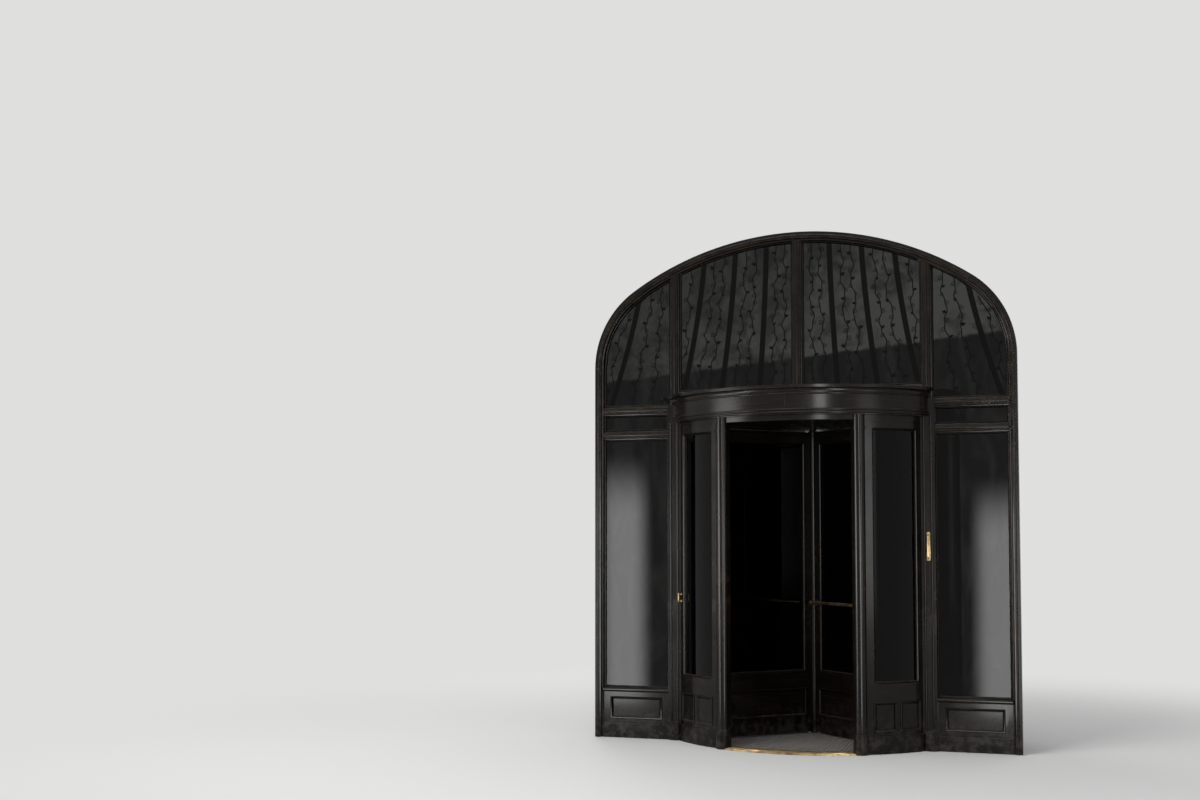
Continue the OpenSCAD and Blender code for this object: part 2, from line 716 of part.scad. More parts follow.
arch_frame();
fanlight_mullions();
transom_centre();
side_transom_left();
side_transom_right();
fanlight_glass();
fanlight_ribs();
side_glass_left();
side_glass_right();
dado_left();
dado_right();
main_post_left();
main_post_right();
drum_post_street_left();
drum_post_street_right();
drum_post_lobby_left();
drum_post_lobby_right();
wall_street_left();
wall_street_right();
wall_lobby_left();
wall_lobby_right();
wall_glass_street_left();
wall_glass_street_right();
wall_glass_lobby_left();
wall_glass_lobby_right();
head_ring();
cornice_street();
cornice_lobby();
drum_ceiling();
drum_roof();
top_bearing();
floor_pan();
floor_mat();
threshold_street();
threshold_lobby();
shaft();
wing_1();
wing_2();
wing_3();
wing_4();
wing_glass_1();
wing_glass_2();
wing_glass_3();
wing_glass_4();
push_bars();
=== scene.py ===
"""Revolving door in an arched timber screen, dressed around its packed construction.

The construction gives every size and place. This script eases its edges, lays the grain of
each timber along its member, adds the joiner's mouldings, beads and fittings, and sets the
studio. Metres; the door's axis stands at the origin, -Y is the street and +Z is up.
"""

from __future__ import annotations

import logging
import math
import sys
from dataclasses import dataclass
from enum import Enum
from typing import Callable, Sequence

import bmesh
import bpy
from bmesh.types import BMEdge, BMesh, BMFace, BMVert
from bpy.types import ID, Material, Mesh, Node, NodeSocket, NodeTree, Object
from mathutils import Matrix, Vector


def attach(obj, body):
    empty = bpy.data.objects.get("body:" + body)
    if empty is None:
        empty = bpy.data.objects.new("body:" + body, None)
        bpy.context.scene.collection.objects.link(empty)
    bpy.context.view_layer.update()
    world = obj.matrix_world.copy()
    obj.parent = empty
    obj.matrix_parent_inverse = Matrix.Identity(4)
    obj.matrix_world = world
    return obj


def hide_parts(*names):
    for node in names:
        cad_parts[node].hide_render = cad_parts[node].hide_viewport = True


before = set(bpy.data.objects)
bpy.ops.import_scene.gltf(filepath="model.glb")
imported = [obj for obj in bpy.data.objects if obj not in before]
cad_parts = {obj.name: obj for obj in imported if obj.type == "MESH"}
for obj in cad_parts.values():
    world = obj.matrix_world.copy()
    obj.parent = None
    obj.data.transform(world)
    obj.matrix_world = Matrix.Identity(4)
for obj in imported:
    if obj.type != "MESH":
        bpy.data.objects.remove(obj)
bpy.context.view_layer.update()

LOG = logging.getLogger("door")
Plan = Callable[[Vector], "Member"]
Profile = Sequence[tuple[float, float]]
Path = tuple[list[Vector], list[Vector]]
Edge = Callable[[float], float]
Cut = tuple[Vector, Vector]
Triple = tuple[float, float, float]
Colour = Triple
Sockets = dict[str, NodeSocket]

EASE = 0.0016  # width of a timber member's rounded arris
TOUCH = 0.001  # play in telling which face a point lies on
MERGE_WITHIN = 1e-5
CUT_WITHIN = 1e-6
FLAT_WITHIN = math.radians(0.6)
ARRIS_FROM = math.radians(28)
CREASE_FROM = math.radians(40)
LEAST_MITRE = 0.25  # keeps a sharp corner's mitre from running away
MEMBER_SHIFT = Vector((3.17, 0.83, 0.41))  # moves each member's grain to timber of its own
SOFT = -1
STREET, LOBBY = Vector((0, -1, 0)), Vector((0, 1, 0))


class Body(Enum):
    """The two bodies of the door."""

    SCREEN = "screen"
    WINGS = "wings"


class Slot(Enum):
    """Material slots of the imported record."""

    TIMBER = "dark_timber"
    PLATE = "clear_glass"
    FANLIGHT = "fanlight_glass"
    IRON = "wrought_iron"
    BRASS = "aged_brass"
    MAT = "coir_mat"


class Run(Enum):
    """The way the grain runs in a member."""

    UPRIGHT = "upright"
    LEVEL = "level"
    ROUND = "round"
    ARCH = "arch"


class Side(Enum):
    """Left or right, as seen from the street."""

    LEFT = "left"
    RIGHT = "right"

    @property
    def sign(self) -> float:
        """Give the sign of X on this side."""
        return 1.0 if self is Side.RIGHT else -1.0


@dataclass(frozen=True)
class Member:
    """One length of timber: how its grain runs, and a number that sets it apart.

    A number of SOFT marks the brush seals, which take the second finish.
    """

    run: Run
    number: int = 0


@dataclass(frozen=True)
class DoorSizes:
    """The construction's sizes that the trim has to meet, in metres."""

    opening_w: float = 3.340
    crown_z: float = 4.030
    arch_rise: float = 1.030
    haunch_r: float = 0.750
    frame_w: float = 0.066
    main_angle: float = math.radians(33.4)
    post_set: float = 0.058
    post_w: float = 0.110
    post_d: float = 0.120
    mullion_w: float = 0.072
    bar_h: float = 0.066
    frieze_h: float = 0.132
    transom_drop: float = 0.085
    pane_t: float = 0.008
    skirting_h: float = 0.112
    ledge_z: float = 0.400
    ledge_h: float = 0.032
    dado_d: float = 0.060
    dado_rail: float = 0.045
    panel_stile: float = 0.062
    drum_r: float = 1.140
    wall_t: float = 0.050
    drum_h: float = 2.500
    post_angle: float = math.radians(26.4)
    drum_post_w: float = 0.092
    post_reach: float = 0.090
    plinth_h: float = 0.130
    panel_rail: float = 0.034
    drum_panel_z: float = 0.380
    drum_glass_z: float = 0.520
    drum_stile: float = 0.058
    head_rail: float = 0.060
    panel_mid: float = 0.040
    lobby_bays: int = 3
    head_h: float = 0.200
    board_t: float = 0.024
    shaft_r: float = 0.046
    wing_t: float = 0.044
    wing_stile: float = 0.088
    wing_inner: float = 0.056
    run_gap: float = 0.007
    seal_w: float = 0.010
    floor_t: float = 0.012
    rib_pitch: float = 0.250
    rib_w: float = 0.026
    rib_spread: float = 0.062
    rib_bend: float = 1.5
    rib_clear: float = 0.006
    rib_gap: float = 0.014
    rib_d: float = 0.010
    seat: float = 0.0003

    @property
    def opening_x(self) -> float:
        """Half the width of the opening."""
        return self.opening_w / 2

    @property
    def springing_z(self) -> float:
        """Height of the arch's springing."""
        return self.crown_z - self.arch_rise

    @property
    def haunch_x(self) -> float:
        """Distance of the small arcs' centres from the middle."""
        return self.opening_x - self.haunch_r

    @property
    def crown_r(self) -> float:
        """Radius of the arch's large arc."""
        spare = self.arch_rise - self.haunch_r
        square = self.haunch_x**2 + self.arch_rise**2 - self.haunch_r**2
        return square / (2 * spare)

    @property
    def crown_cz(self) -> float:
        """Height of the centre of the large arc."""
        return self.crown_z - self.crown_r

    @property
    def crown_half(self) -> float:
        """Half of the large arc's angle."""
        return math.atan2(self.haunch_x, self.springing_z - self.crown_cz)

    @property
    def post_x(self) -> float:
        """Distance of the main posts from the middle."""
        return (self.drum_r + self.post_set) * math.cos(self.main_angle)

    @property
    def screen_y(self) -> float:
        """Distance of the screen's middle plane from the axis."""
        return (self.drum_r + self.post_set) * math.sin(self.main_angle)

    @property
    def transom_z(self) -> float:
        """Underside of the side transoms."""
        return self.drum_h - self.transom_drop

    @property
    def transom_top(self) -> float:
        """Top of the side transoms."""
        return self.transom_z + 2 * self.bar_h + self.frieze_h

    @property
    def roof_top(self) -> float:
        """Top of the drum's roof."""
        return self.drum_h + self.head_h + self.seat + self.board_t

    @property
    def centre_foot(self) -> float:
        """Top of the transom over the drum."""
        return self.roof_top + self.bar_h + 2 * self.seat

    @property
    def bay_x0(self) -> float:
        """Near side of a side bay."""
        return self.post_x + self.post_w / 2

    @property
    def bay_x1(self) -> float:
        """Far side of a side bay."""
        return self.opening_x - self.frame_w

    @property
    def wall_r(self) -> float:
        """Outer radius of the drum's walls."""
        return self.drum_r + self.wall_t

    @property
    def post_nose_x(self) -> float:
        """Distance of a drum post's nose from the axis."""
        return self.drum_r + self.post_reach - self.drum_post_w / 2

    @property
    def wing_r(self) -> float:
        """Reach of a wing without its seals."""
        return self.drum_r - self.run_gap - self.seal_w

    @property
    def wing_light(self) -> tuple[float, float]:
        """Inner and outer edge of a wing's pane and panel."""
        return self.shaft_r + self.wing_inner, self.wing_r - self.wing_stile

    @property
    def wing_z0(self) -> float:
        """Bottom of a wing without its seals."""
        return self.floor_t + self.run_gap + self.seal_w

    @property
    def wing_z1(self) -> float:
        """Top of a wing without its seals."""
        return self.drum_h - self.run_gap - self.seal_w

    def arch_z(self, x: float, inset: float) -> float:
        """Find the height of the arch over a point.

        Args:
            x: Distance from the middle.
            inset: How far inside the opening's edge.

        Returns:
            The height in metres.
        """
        x = abs(x)
        if x <= (self.crown_r - inset) * math.sin(self.crown_half):
            return self.crown_cz + math.sqrt((self.crown_r - inset) ** 2 - x * x)
        reach = max(0.0, (self.haunch_r - inset) ** 2 - (x - self.haunch_x) ** 2)
        return self.springing_z + math.sqrt(reach)

    def to_angle(self, length: float) -> float:
        """Turn a length round the wall's outside into an angle in radians."""
        return length / self.wall_r

    def wall_bays(self, street: bool) -> list[tuple[float, float]]:
        """Give the angles between which each bay of a right-hand wall is glazed.

        Args:
            street: True for the short wall towards the street.

        Returns:
            Start and end angles in radians.
        """
        end = math.pi / 2 - self.post_angle
        main_side = self.to_angle(self.post_w / 2 + self.drum_stile)
        door_side = self.to_angle(self.drum_post_w / 2 + self.drum_stile)
        if street:
            return [(-end + door_side, -self.main_angle - main_side)]
        span = (-self.main_angle + main_side, end - door_side)
        return self.split(span, self.lobby_bays, self.to_angle(self.drum_stile))

    def wall_panels(self, street: bool) -> list[tuple[float, float]]:
        """Give the angles of the sunk panels under those bays.

        Args:
            street: True for the short wall towards the street.

        Returns:
            Start and end angles in radians.
        """
        count = 2 if street else 1
        space = self.to_angle(self.panel_mid)
        return [p for bay in self.wall_bays(street) for p in self.split(bay, count, space)]

    @property
    def rib_y(self) -> float:
        """Middle of the fanlight's ironwork."""
        return -self.screen_y + self.pane_t / 2 + self.rib_gap + self.rib_d / 2

    def fanlight_foot(self, x: float) -> float:
        """Give the height at which the fanlight starts at a distance from the middle."""
        return self.centre_foot if abs(x) < self.post_x else self.transom_top + self.seat

    def rib_edge(self, number: int, z: float, side: int) -> float:
        """Find the edge of a rib of the fanlight on the right.

        Args:
            number: The rib's number from the middle.
            z: The height.
            side: -1 for the edge towards the middle, 1 for the other.

        Returns:
            The distance from the middle.
        """
        at_top = number * self.rib_pitch
        foot = self.fanlight_foot(at_top)
        beside = self.post_x - self.mullion_w / 2 if at_top < self.post_x else self.bay_x1
        room = beside - at_top - self.rib_w / 2 - self.rib_clear
        share = max(0.0, (self.crown_z - z) / (self.crown_z - foot))
        return at_top + min(self.rib_spread * number, room) * share**self.rib_bend + side * self.rib_w / 2

    def jamb_edge(self, z: float) -> float:
        """Find the inner edge of the right jamb or haunch.

        Args:
            z: The height.

        Returns:
            The distance from the middle.
        """
        rise = max(0.0, z - self.springing_z)
        reach = (self.haunch_r - self.frame_w) ** 2 - rise**2
        return self.haunch_x + math.sqrt(max(0.0, reach))

    @staticmethod
    def split(span: tuple[float, float], count: int, space: float) -> list[tuple[float, float]]:
        """Divide a span into equal parts.

        Args:
            span: Its start and end.
            count: Number of parts.
            space: Space between two parts.

        Returns:
            Start and end of each part.
        """
        width = (span[1] - span[0] - (count - 1) * space) / count
        return [(span[0] + i * (width + space), span[0] + i * (width + space) + width)
                for i in range(count)]


# --- meshes

def around(angle: float, radius: float, z: float) -> Vector:
    """Give a point by its angle round the axis, its radius and its height."""
    return Vector((radius * math.cos(angle), radius * math.sin(angle), z))


def grain_at(point: Vector, member: Member, middle: Vector, sizes: DoorSizes) -> Vector:
    """Find the grain's coordinates of a point: along the timber, then across it.

    Args:
        point: The point.
        member: The length of timber that it belongs to.
        middle: The middle of its face, which keeps an angle from jumping a turn.
        sizes: The door's sizes.

    Returns:
        A vector in metres, shifted so that no two members match.
    """
    shift = MEMBER_SHIFT * member.number
    if member.run is Run.UPRIGHT:
        return Vector((point.z, point.x, point.y)) + shift
    if member.run is Run.LEVEL:
        return Vector((point.x, point.z, point.y)) + shift
    if member.run is Run.ROUND:
        turn = near_turn(math.atan2(point.y, point.x), math.atan2(middle.y, middle.x))
        radius = math.hypot(point.x, point.y)
        return Vector((turn * sizes.wall_r, point.z, radius)) + shift
    rise, centre = point.z - sizes.crown_cz, middle.z - sizes.crown_cz
    turn = near_turn(math.atan2(rise, point.x), math.atan2(centre, middle.x))
    return Vector((turn * sizes.crown_r, math.hypot(point.x, rise), point.y)) + shift


def near_turn(angle: float, other: float) -> float:
    """Give the angle, less whole turns, that lies nearest to another."""
    return angle - 2 * math.pi * round((angle - other) / (2 * math.pi))


def lay_grain(mesh: BMesh, plan: Plan, sizes: DoorSizes, turn: float = 0.0) -> None:
    """Write the grain's coordinates on every corner of a mesh.

    Args:
        mesh: The mesh.
        plan: Tells which member a point belongs to.
        sizes: The door's sizes.
        turn: Angle at which the piece stands round the axis; the plan sees it unturned.
    """
    layer = mesh.loops.layers.float_vector.new("grain")
    back = Matrix.Rotation(-turn, 3, "Z")
    for face in mesh.faces:
        middle = back @ face.calc_center_median()
        member = plan(middle)
        face.material_index = 1 if member.number == SOFT else 0
        for corner in face.loops:
            corner[layer] = grain_at(back @ corner.vert.co, member, middle, sizes)


def merged_copy(node: str) -> BMesh:
    """Copy a construction node's triangles and join them into plain faces.

    Args:
        node: The node's name.

    Returns:
        The new mesh.
    """
    mesh = bmesh.new()
    mesh.from_mesh(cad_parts[node].data)
    bmesh.ops.remove_doubles(mesh, verts=mesh.verts, dist=MERGE_WITHIN)
    bmesh.ops.dissolve_limit(mesh, angle_limit=FLAT_WITHIN, verts=mesh.verts, edges=mesh.edges)
    return mesh


def cut_at(mesh: BMesh, planes: Sequence[Cut]) -> None:
    """Cut the faces of a mesh along planes and keep all of it.

    Args:
        mesh: The mesh.
        planes: A point and the normal of each plane.
    """
    for point, normal in planes:
        everything = [*mesh.verts, *mesh.edges, *mesh.faces]
        bmesh.ops.bisect_plane(mesh, geom=everything, plane_co=point, plane_no=normal, dist=CUT_WITHIN)


def ease_edges(mesh: BMesh, width: float) -> None:
    """Round the sharp edges of a mesh, as a plane and glasspaper do, and mark the rounded faces, which the timber
    paints lighter as wear and as a painted highlight.

    Args:
        mesh: The mesh, which gets a "worn" layer.
        width: How far the rounding reaches into each face.
    """
    worn = mesh.loops.layers.float.new("worn")
    sharp = [e for e in mesh.edges if e.is_manifold and e.calc_face_angle(0.0) > ARRIS_FROM]
    eased = bmesh.ops.bevel(mesh, geom=sharp, offset=width, offset_type="OFFSET", segments=2, profile=0.6,
                            affect="EDGES", clamp_overlap=True)
    for corner in (c for face in eased["faces"] for c in face.loops):
        corner[worn] = 1.0


def boards_of(mesh: BMesh, pitch: float, gap: float, reach: float) -> BMesh:
    """Saw a slab into boards that run along Y.

    Args:
        mesh: The slab, which is used up.
        pitch: Distance from board to board.
        gap: Space between two boards.
        reach: How far the slab goes to either side of the middle.

    Returns:
        A mesh of closed boards.
    """
    boards = bmesh.new()
    count = math.ceil(reach / pitch)
    for i in range(-count, count):
        part = mesh.copy()
        for edge, side in ((i * pitch + gap / 2, -1), ((i + 1) * pitch - gap / 2, 1)):
            everything = [*part.verts, *part.edges, *part.faces]
            cut = bmesh.ops.bisect_plane(part, geom=everything, plane_co=(edge, 0, 0),
                                         plane_no=(side, 0, 0), clear_outer=True, dist=CUT_WITHIN)
            rim = [g for g in cut["geom_cut"] if isinstance(g, BMEdge)]
            bmesh.ops.holes_fill(part, edges=rim, sides=0)
        if part.faces:
            holder = settled("board", part)
            boards.from_mesh(holder)
            bpy.data.meshes.remove(holder)
        else:
            part.free()
    mesh.free()
    return boards


def mitred_run(mesh: BMesh, path: Sequence[Vector], outward: Sequence[Vector], profile: Profile,
               number: int = 0) -> None:
    """Sweep a moulding all the way round a closed path, with mitred corners, into a mesh.

    Args:
        mesh: The mesh that takes it.
        path: The points along the moulding's back edge.
        outward: The direction that the moulding faces at each point.
        profile: Points of its section: in from the path, and out towards the viewer.
        number: Sets its grain apart from that of its neighbours.
    """
    layer = mesh.loops.layers.float_vector.get("grain") or mesh.loops.layers.float_vector.new("grain")
    count, sides = len(path), len(profile)
    rings, runs = [], [0.0]
    for i, (point, out) in enumerate(zip(path, outward)):
        before, after = path[i - 1], path[(i + 1) % count]
        across = [out.cross(leg.normalized()).normalized() for leg in (point - before, after - point)]
        mitre = sum(across, Vector()).normalized()
        stretch = 1 / max(LEAST_MITRE, mitre.dot(across[-1]))
        rings.append([mesh.verts.new(point + mitre * (a * stretch) + out * h) for a, h in profile])
        runs.append(runs[-1] + (after - point).length)
    lengths = [0.0]
    for k in range(sides):
        (a0, h0), (a1, h1) = profile[k], profile[(k + 1) % sides]
        lengths.append(lengths[-1] + math.hypot(a1 - a0, h1 - h0))
    made = []
    for i in range(count):
        here, there = rings[i], rings[(i + 1) % count]
        for k in range(sides):
            n = (k + 1) % sides
            face = mesh.faces.new((here[k], there[k], there[n], here[n]))
            spots = ((runs[i], lengths[k]), (runs[i + 1], lengths[k]),
                     (runs[i + 1], lengths[k + 1]), (runs[i], lengths[k + 1]))
            for corner, (u, v) in zip(face.loops, spots):
                corner[layer] = Vector((u, v, 0.0)) + MEMBER_SHIFT * number
            made.append(face)
    bmesh.ops.recalc_face_normals(mesh, faces=made)


def lathe(mesh: BMesh, spindle: Matrix, profile: Profile, sides: int = 24) -> None:
    """Turn a closed form on a spindle.

    Args:
        mesh: The mesh that takes it, with or without a "grain" layer.
        spindle: Places the form; its Z axis is the spindle.
        profile: Radius and height of each ring from end to end.
        sides: Faces round the form.
    """
    rings = []
    for radius, height in profile:
        if radius < MERGE_WITHIN:
            rings.append([mesh.verts.new(spindle @ Vector((0, 0, height)))])
            continue
        rings.append([mesh.verts.new(spindle @ Vector((radius * math.cos(a), radius * math.sin(a), height)))
                      for a in (2 * math.pi * k / sides for k in range(sides))])
    made = []
    for low, high in zip(rings, rings[1:]):
        for k in range(sides):
            n = (k + 1) % sides
            ring = [low[k % len(low)], low[n % len(low)], high[n % len(high)], high[k % len(high)]]
            made.append(mesh.faces.new(list(dict.fromkeys(ring))))
    for ring in (rings[0], rings[-1]):
        if len(ring) > 1:
            made.append(mesh.faces.new(ring))
    bmesh.ops.recalc_face_normals(mesh, faces=made)


def band(mesh: BMesh, low: Sequence[BMVert], high: Sequence[BMVert]) -> list[BMFace]:
    """Join two closed rings by a band of faces.

    Args:
        mesh: The mesh.
        low: The points of one ring.
        high: As many points of the other ring.

    Returns:
        The new faces.
    """
    corners = zip(low, [*low[1:], low[0]], [*high[1:], high[0]], high)
    return [mesh.faces.new(four) for four in corners]


def settled(name: str, mesh: BMesh) -> Mesh:
    """Store a mesh that has been built up.

    Args:
        name: The stored mesh's name.
        mesh: The mesh, which is used up.

    Returns:
        The stored mesh.
    """
    data = bpy.data.meshes.new(name)
    mesh.to_mesh(data)
    mesh.free()
    return data


def in_scene(name: str, data: ID) -> Object:
    """Hold a mesh, a lamp or a camera as an object of the scene.

    Args:
        name: The object's name.
        data: What it holds.

    Returns:
        The object.
    """
    thing = bpy.data.objects.new(name, data)
    bpy.context.scene.collection.objects.link(thing)
    return thing


def plain_mesh(piece: Object) -> None:
    """Put a piece's evaluated mesh in place of its modifiers.

    Args:
        piece: The piece.
    """
    depsgraph = bpy.context.evaluated_depsgraph_get()
    plain = bpy.data.meshes.new_from_object(piece.evaluated_get(depsgraph),
                                            preserve_all_data_layers=True, depsgraph=depsgraph)
    piece.modifiers.clear()
    old, piece.data = piece.data, plain
    plain.name = piece.name
    if old.users == 0:
        bpy.data.meshes.remove(old)


def set_piece(name: str, mesh: BMesh, finishes: Sequence[Material], body: Body,
              replaced: Sequence[str] = ()) -> Object:
    """Make a finished piece of a mesh and hang it on its body.

    Args:
        name: The piece's name.
        mesh: Its mesh, which is used up.
        finishes: Its materials.
        body: The body that it moves with.
        replaced: Construction nodes that it stands for.

    Returns:
        The piece.
    """
    data = settled(name, mesh)
    for finish in finishes:
        data.materials.append(finish)
    data.polygons.foreach_set("use_smooth", [True] * len(data.polygons))
    data.set_sharp_from_angle(angle=CREASE_FROM)
    piece = in_scene(name, data)
    weighted = piece.modifiers.new("even_shading", "WEIGHTED_NORMAL")
    weighted.keep_sharp = True
    plain_mesh(piece)
    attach(piece, body.value)
    if replaced:
        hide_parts(*replaced)
    LOG.info("%-26s %-7s %6d faces", name, body.value, len(piece.data.polygons))
    return piece


# --- node trees

def new_material(name: str) -> tuple[Material, Sheet]:
    """Start a material with nodes, and the sheet for them."""
    material = bpy.data.materials.new(name)
    material.use_nodes = True
    return material, Sheet(material.node_tree)


class Sheet:
    """A node tree that is filled in step by step."""

    def __init__(self, tree: NodeTree) -> None:
        """Take an empty or fresh tree."""
        self.tree = tree

    def add(self, kind: str, **settings: object) -> Node:
        """Add a node and set its properties."""
        node = self.tree.nodes.new(kind)
        for key, value in settings.items():
            setattr(node, key, value)
        return node

    def feed(self, target: NodeSocket, source: object) -> None:
        """Link a socket to another, or give it a plain value."""
        if isinstance(source, NodeSocket):
            self.tree.links.new(source, target)
        else:
            target.default_value = source

    def fill(self, node: Node, *terms: object, **values: object) -> Node:
        """Feed a node's inputs, the first ones in their order and others by name.

        Args:
            node: The node.
            terms: Values of its first inputs.
            values: Values of others, with an underscore for each space in a name.

        Returns:
            The node.
        """
        for socket, term in zip(node.inputs, terms):
            self.feed(socket, term)
        for name, value in values.items():
            self.feed(node.inputs[name.replace("_", " ")], value)
        return node

    def math(self, operation: str, *terms: object, clamp: bool = False) -> NodeSocket:
        """Add a Math node and give its result."""
        return self.fill(self.add("ShaderNodeMath", operation=operation, use_clamp=clamp), *terms).outputs[0]

    def times(self, first: object, second: object, clamp: bool = False) -> NodeSocket:
        """Multiply two values."""
        return self.math("MULTIPLY", first, second, clamp=clamp)

    def plus(self, first: object, second: object, clamp: bool = False) -> NodeSocket:
        """Add two values."""
        return self.math("ADD", first, second, clamp=clamp)

    def from_axis(self, place: object) -> NodeSocket:
        """Give the distance of a place from the door's axis."""
        x, y, _ = self.parts(place)
        return self.math("SQRT", self.plus(self.times(x, x), self.times(y, y)))

    def stretched(self, place: object, by: Triple) -> NodeSocket:
        """Scale a vector by a factor for each axis."""
        return self.fill(self.add("ShaderNodeVectorMath", operation="MULTIPLY"), place, by).outputs[0]

    @staticmethod
    def of_type(sockets: Sequence[NodeSocket], kind: str) -> list[NodeSocket]:
        """Pick the sockets of one type."""
        return [s for s in sockets if s.type == kind]

    def noise(self, place: object, scale: float, detail: float = 4.0, rough: float = 0.55,
              distortion: float = 0.0) -> NodeSocket:
        """Add a Noise Texture and give its factor."""
        return self.fed("ShaderNodeTexNoise", Vector=place, Scale=scale, Detail=detail, Roughness=rough,
                        Distortion=distortion).outputs[0]

    def ramp(self, value: object, low: float, high: float, to_low: float = 0.0,
             to_high: float = 1.0) -> NodeSocket:
        """Spread a range of values smoothly over another range."""
        node = self.add("ShaderNodeMapRange", interpolation_type="SMOOTHSTEP")
        return self.fill(node, value, low, high, to_low, to_high).outputs[0]

    def mix(self, share: object, first: object, second: object) -> NodeSocket:
        """Mix two colours by a share."""
        node = self.add("ShaderNodeMix", data_type="RGBA")
        self.feed(node.inputs[0], share)
        self.feed(node.inputs[6], first)
        self.feed(node.inputs[7], second)
        return node.outputs[2]

    def parts(self, vector: object) -> tuple[NodeSocket, ...]:
        """Separate a vector into its three parts."""
        return tuple(self.fed("ShaderNodeSeparateXYZ", Vector=vector).outputs)

    def bump(self, height: object, strength: float, distance: float) -> NodeSocket:
        """Add a Bump node and give its normal."""
        return self.fed("ShaderNodeBump", Strength=strength, Distance=distance, Height=height).outputs[0]

    def place(self) -> NodeSocket:
        """Give the piece's own Object coordinates."""
        return self.add("ShaderNodeTexCoord").outputs["Object"]

    def fed(self, kind: str, settings: dict[str, object] | None = None, **values: object) -> Node:
        """Add a node and feed its inputs by name.

        Args:
            kind: The node's type.
            settings: Its properties.
            values: Its inputs, with an underscore for each space in a name.

        Returns:
            The node.
        """
        return self.fill(self.add(kind, **(settings or {})), **values)

    def effect(self, group: NodeTree, **values: object) -> Node:
        """Place a node group and give it its values."""
        return self.fed("ShaderNodeGroup", {"node_tree": group}, **values)


def new_group(name: str, takes: dict[str, str], gives: dict[str, str]) -> tuple[Sheet, Sockets, Sockets]:
    """Start a shader node group with named inputs and outputs.

    Args:
        name: The group's name.
        takes: Input names and whether each is a Vector, Float or Color.
        gives: Output names in the same way.

    Returns:
        The sheet, the sockets that it reads and the sockets that it fills.
    """
    tree = bpy.data.node_groups.new(name, "ShaderNodeTree")
    for names, way in ((takes, "INPUT"), (gives, "OUTPUT")):
        for socket, kind in names.items():
            tree.interface.new_socket(name=socket, in_out=way, socket_type=f"NodeSocket{kind}")
    sheet = Sheet(tree)
    inner, outer = sheet.add("NodeGroupInput"), sheet.add("NodeGroupOutput")
    return sheet, {s: inner.outputs[s] for s in takes}, {s: outer.inputs[s] for s in gives}


class Effects:
    """The effects that several finishes share, each built once."""

    def __init__(self) -> None:
        """Build every group."""
        self.grain = self._grain()
        self.dust = self._dust()
        self.rubbed = self._rubbed()

    def _grain(self) -> NodeTree:
        """Build wood grain: fibres and growth figure along the grain's first axis."""
        sheet, takes, gives = new_group("timber_grain", {"Grain": "Vector"},
                                        {"Fibre": "Float", "Figure": "Float", "Pores": "Float"})
        fine = sheet.stretched(takes["Grain"], (2.2, 60.0, 60.0))
        sheet.feed(gives["Fibre"], sheet.noise(fine, 1.0, 6.0, 0.65))
        broad = sheet.stretched(takes["Grain"], (0.55, 11.0, 11.0))
        sheet.feed(gives["Figure"], sheet.noise(broad, 1.0, 3.0, 0.5, 1.6))
        pores = sheet.stretched(takes["Grain"], (14.0, 420.0, 420.0))
        sheet.feed(gives["Pores"], sheet.ramp(sheet.noise(pores, 1.0, 2.0), 0.32, 0.46))
        return sheet.tree

    def _dust(self) -> NodeTree:
        """Build the dust that settles on what faces up, and in the lowest corners."""
        sheet, takes, gives = new_group("settled_dust", {"Place": "Vector", "Amount": "Float"},
                                        {"Dust": "Float"})
        up = sheet.parts(sheet.add("ShaderNodeNewGeometry").outputs["Normal"])[2]
        flat = sheet.ramp(up, 0.55, 0.98)
        cloud = sheet.ramp(sheet.noise(takes["Place"], 9.0, 5.0), 0.30, 0.72, 0.35, 1.0)
        low = sheet.ramp(sheet.parts(takes["Place"])[2], 0.02, 0.34, 0.55, 0.0)
        splash = sheet.times(low, sheet.ramp(sheet.noise(takes["Place"], 17.0, 6.0), 0.42, 0.70))
        either = sheet.math("MAXIMUM", sheet.times(flat, cloud), splash)
        sheet.feed(gives["Dust"], sheet.times(either, takes["Amount"], clamp=True))
        return sheet.tree

    def _rubbed(self) -> NodeTree:
        """Build the rubbed patches where hands and clothes pass, between knee and shoulder."""
        sheet, takes, gives = new_group("rubbed_patches", {"Place": "Vector", "Amount": "Float"},
                                        {"Rubbed": "Float"})
        height = sheet.parts(takes["Place"])[2]
        belt = sheet.times(sheet.ramp(height, 0.5, 1.0), sheet.ramp(height, 1.25, 1.7, 1.0, 0.0))
        patch = sheet.ramp(sheet.noise(takes["Place"], 6.0, 6.0, 0.6), 0.50, 0.68)
        all_over = sheet.ramp(sheet.noise(takes["Place"], 2.3, 4.0), 0.48, 0.75, 0.0, 0.5)
        either = sheet.math("MAXIMUM", sheet.times(belt, patch), all_over)
        sheet.feed(gives["Rubbed"], sheet.times(either, takes["Amount"], clamp=True))
        return sheet.tree


def new_maker(name: str, takes: dict[str, str]) -> tuple[Sheet, Sockets, Node]:
    """Start a Geometry Nodes tree that makes something of a carrier mesh.

    Args:
        name: The tree's name.
        takes: Names of its inputs and whether each is a Float, Int, Object or Material.

    Returns:
        The sheet, the sockets that it reads and the output node.
    """
    tree = bpy.data.node_groups.new(name, "GeometryNodeTree")
    tree.interface.new_socket(name="Geometry", in_out="INPUT", socket_type="NodeSocketGeometry")
    for socket, kind in takes.items():
        tree.interface.new_socket(name=socket, in_out="INPUT", socket_type=f"NodeSocket{kind}")
    tree.interface.new_socket(name="Geometry", in_out="OUTPUT", socket_type="NodeSocketGeometry")
    sheet = Sheet(tree)
    inner = sheet.add("NodeGroupInput")
    return sheet, {s: inner.outputs[s] for s in ("Geometry", *takes)}, sheet.add("NodeGroupOutput")


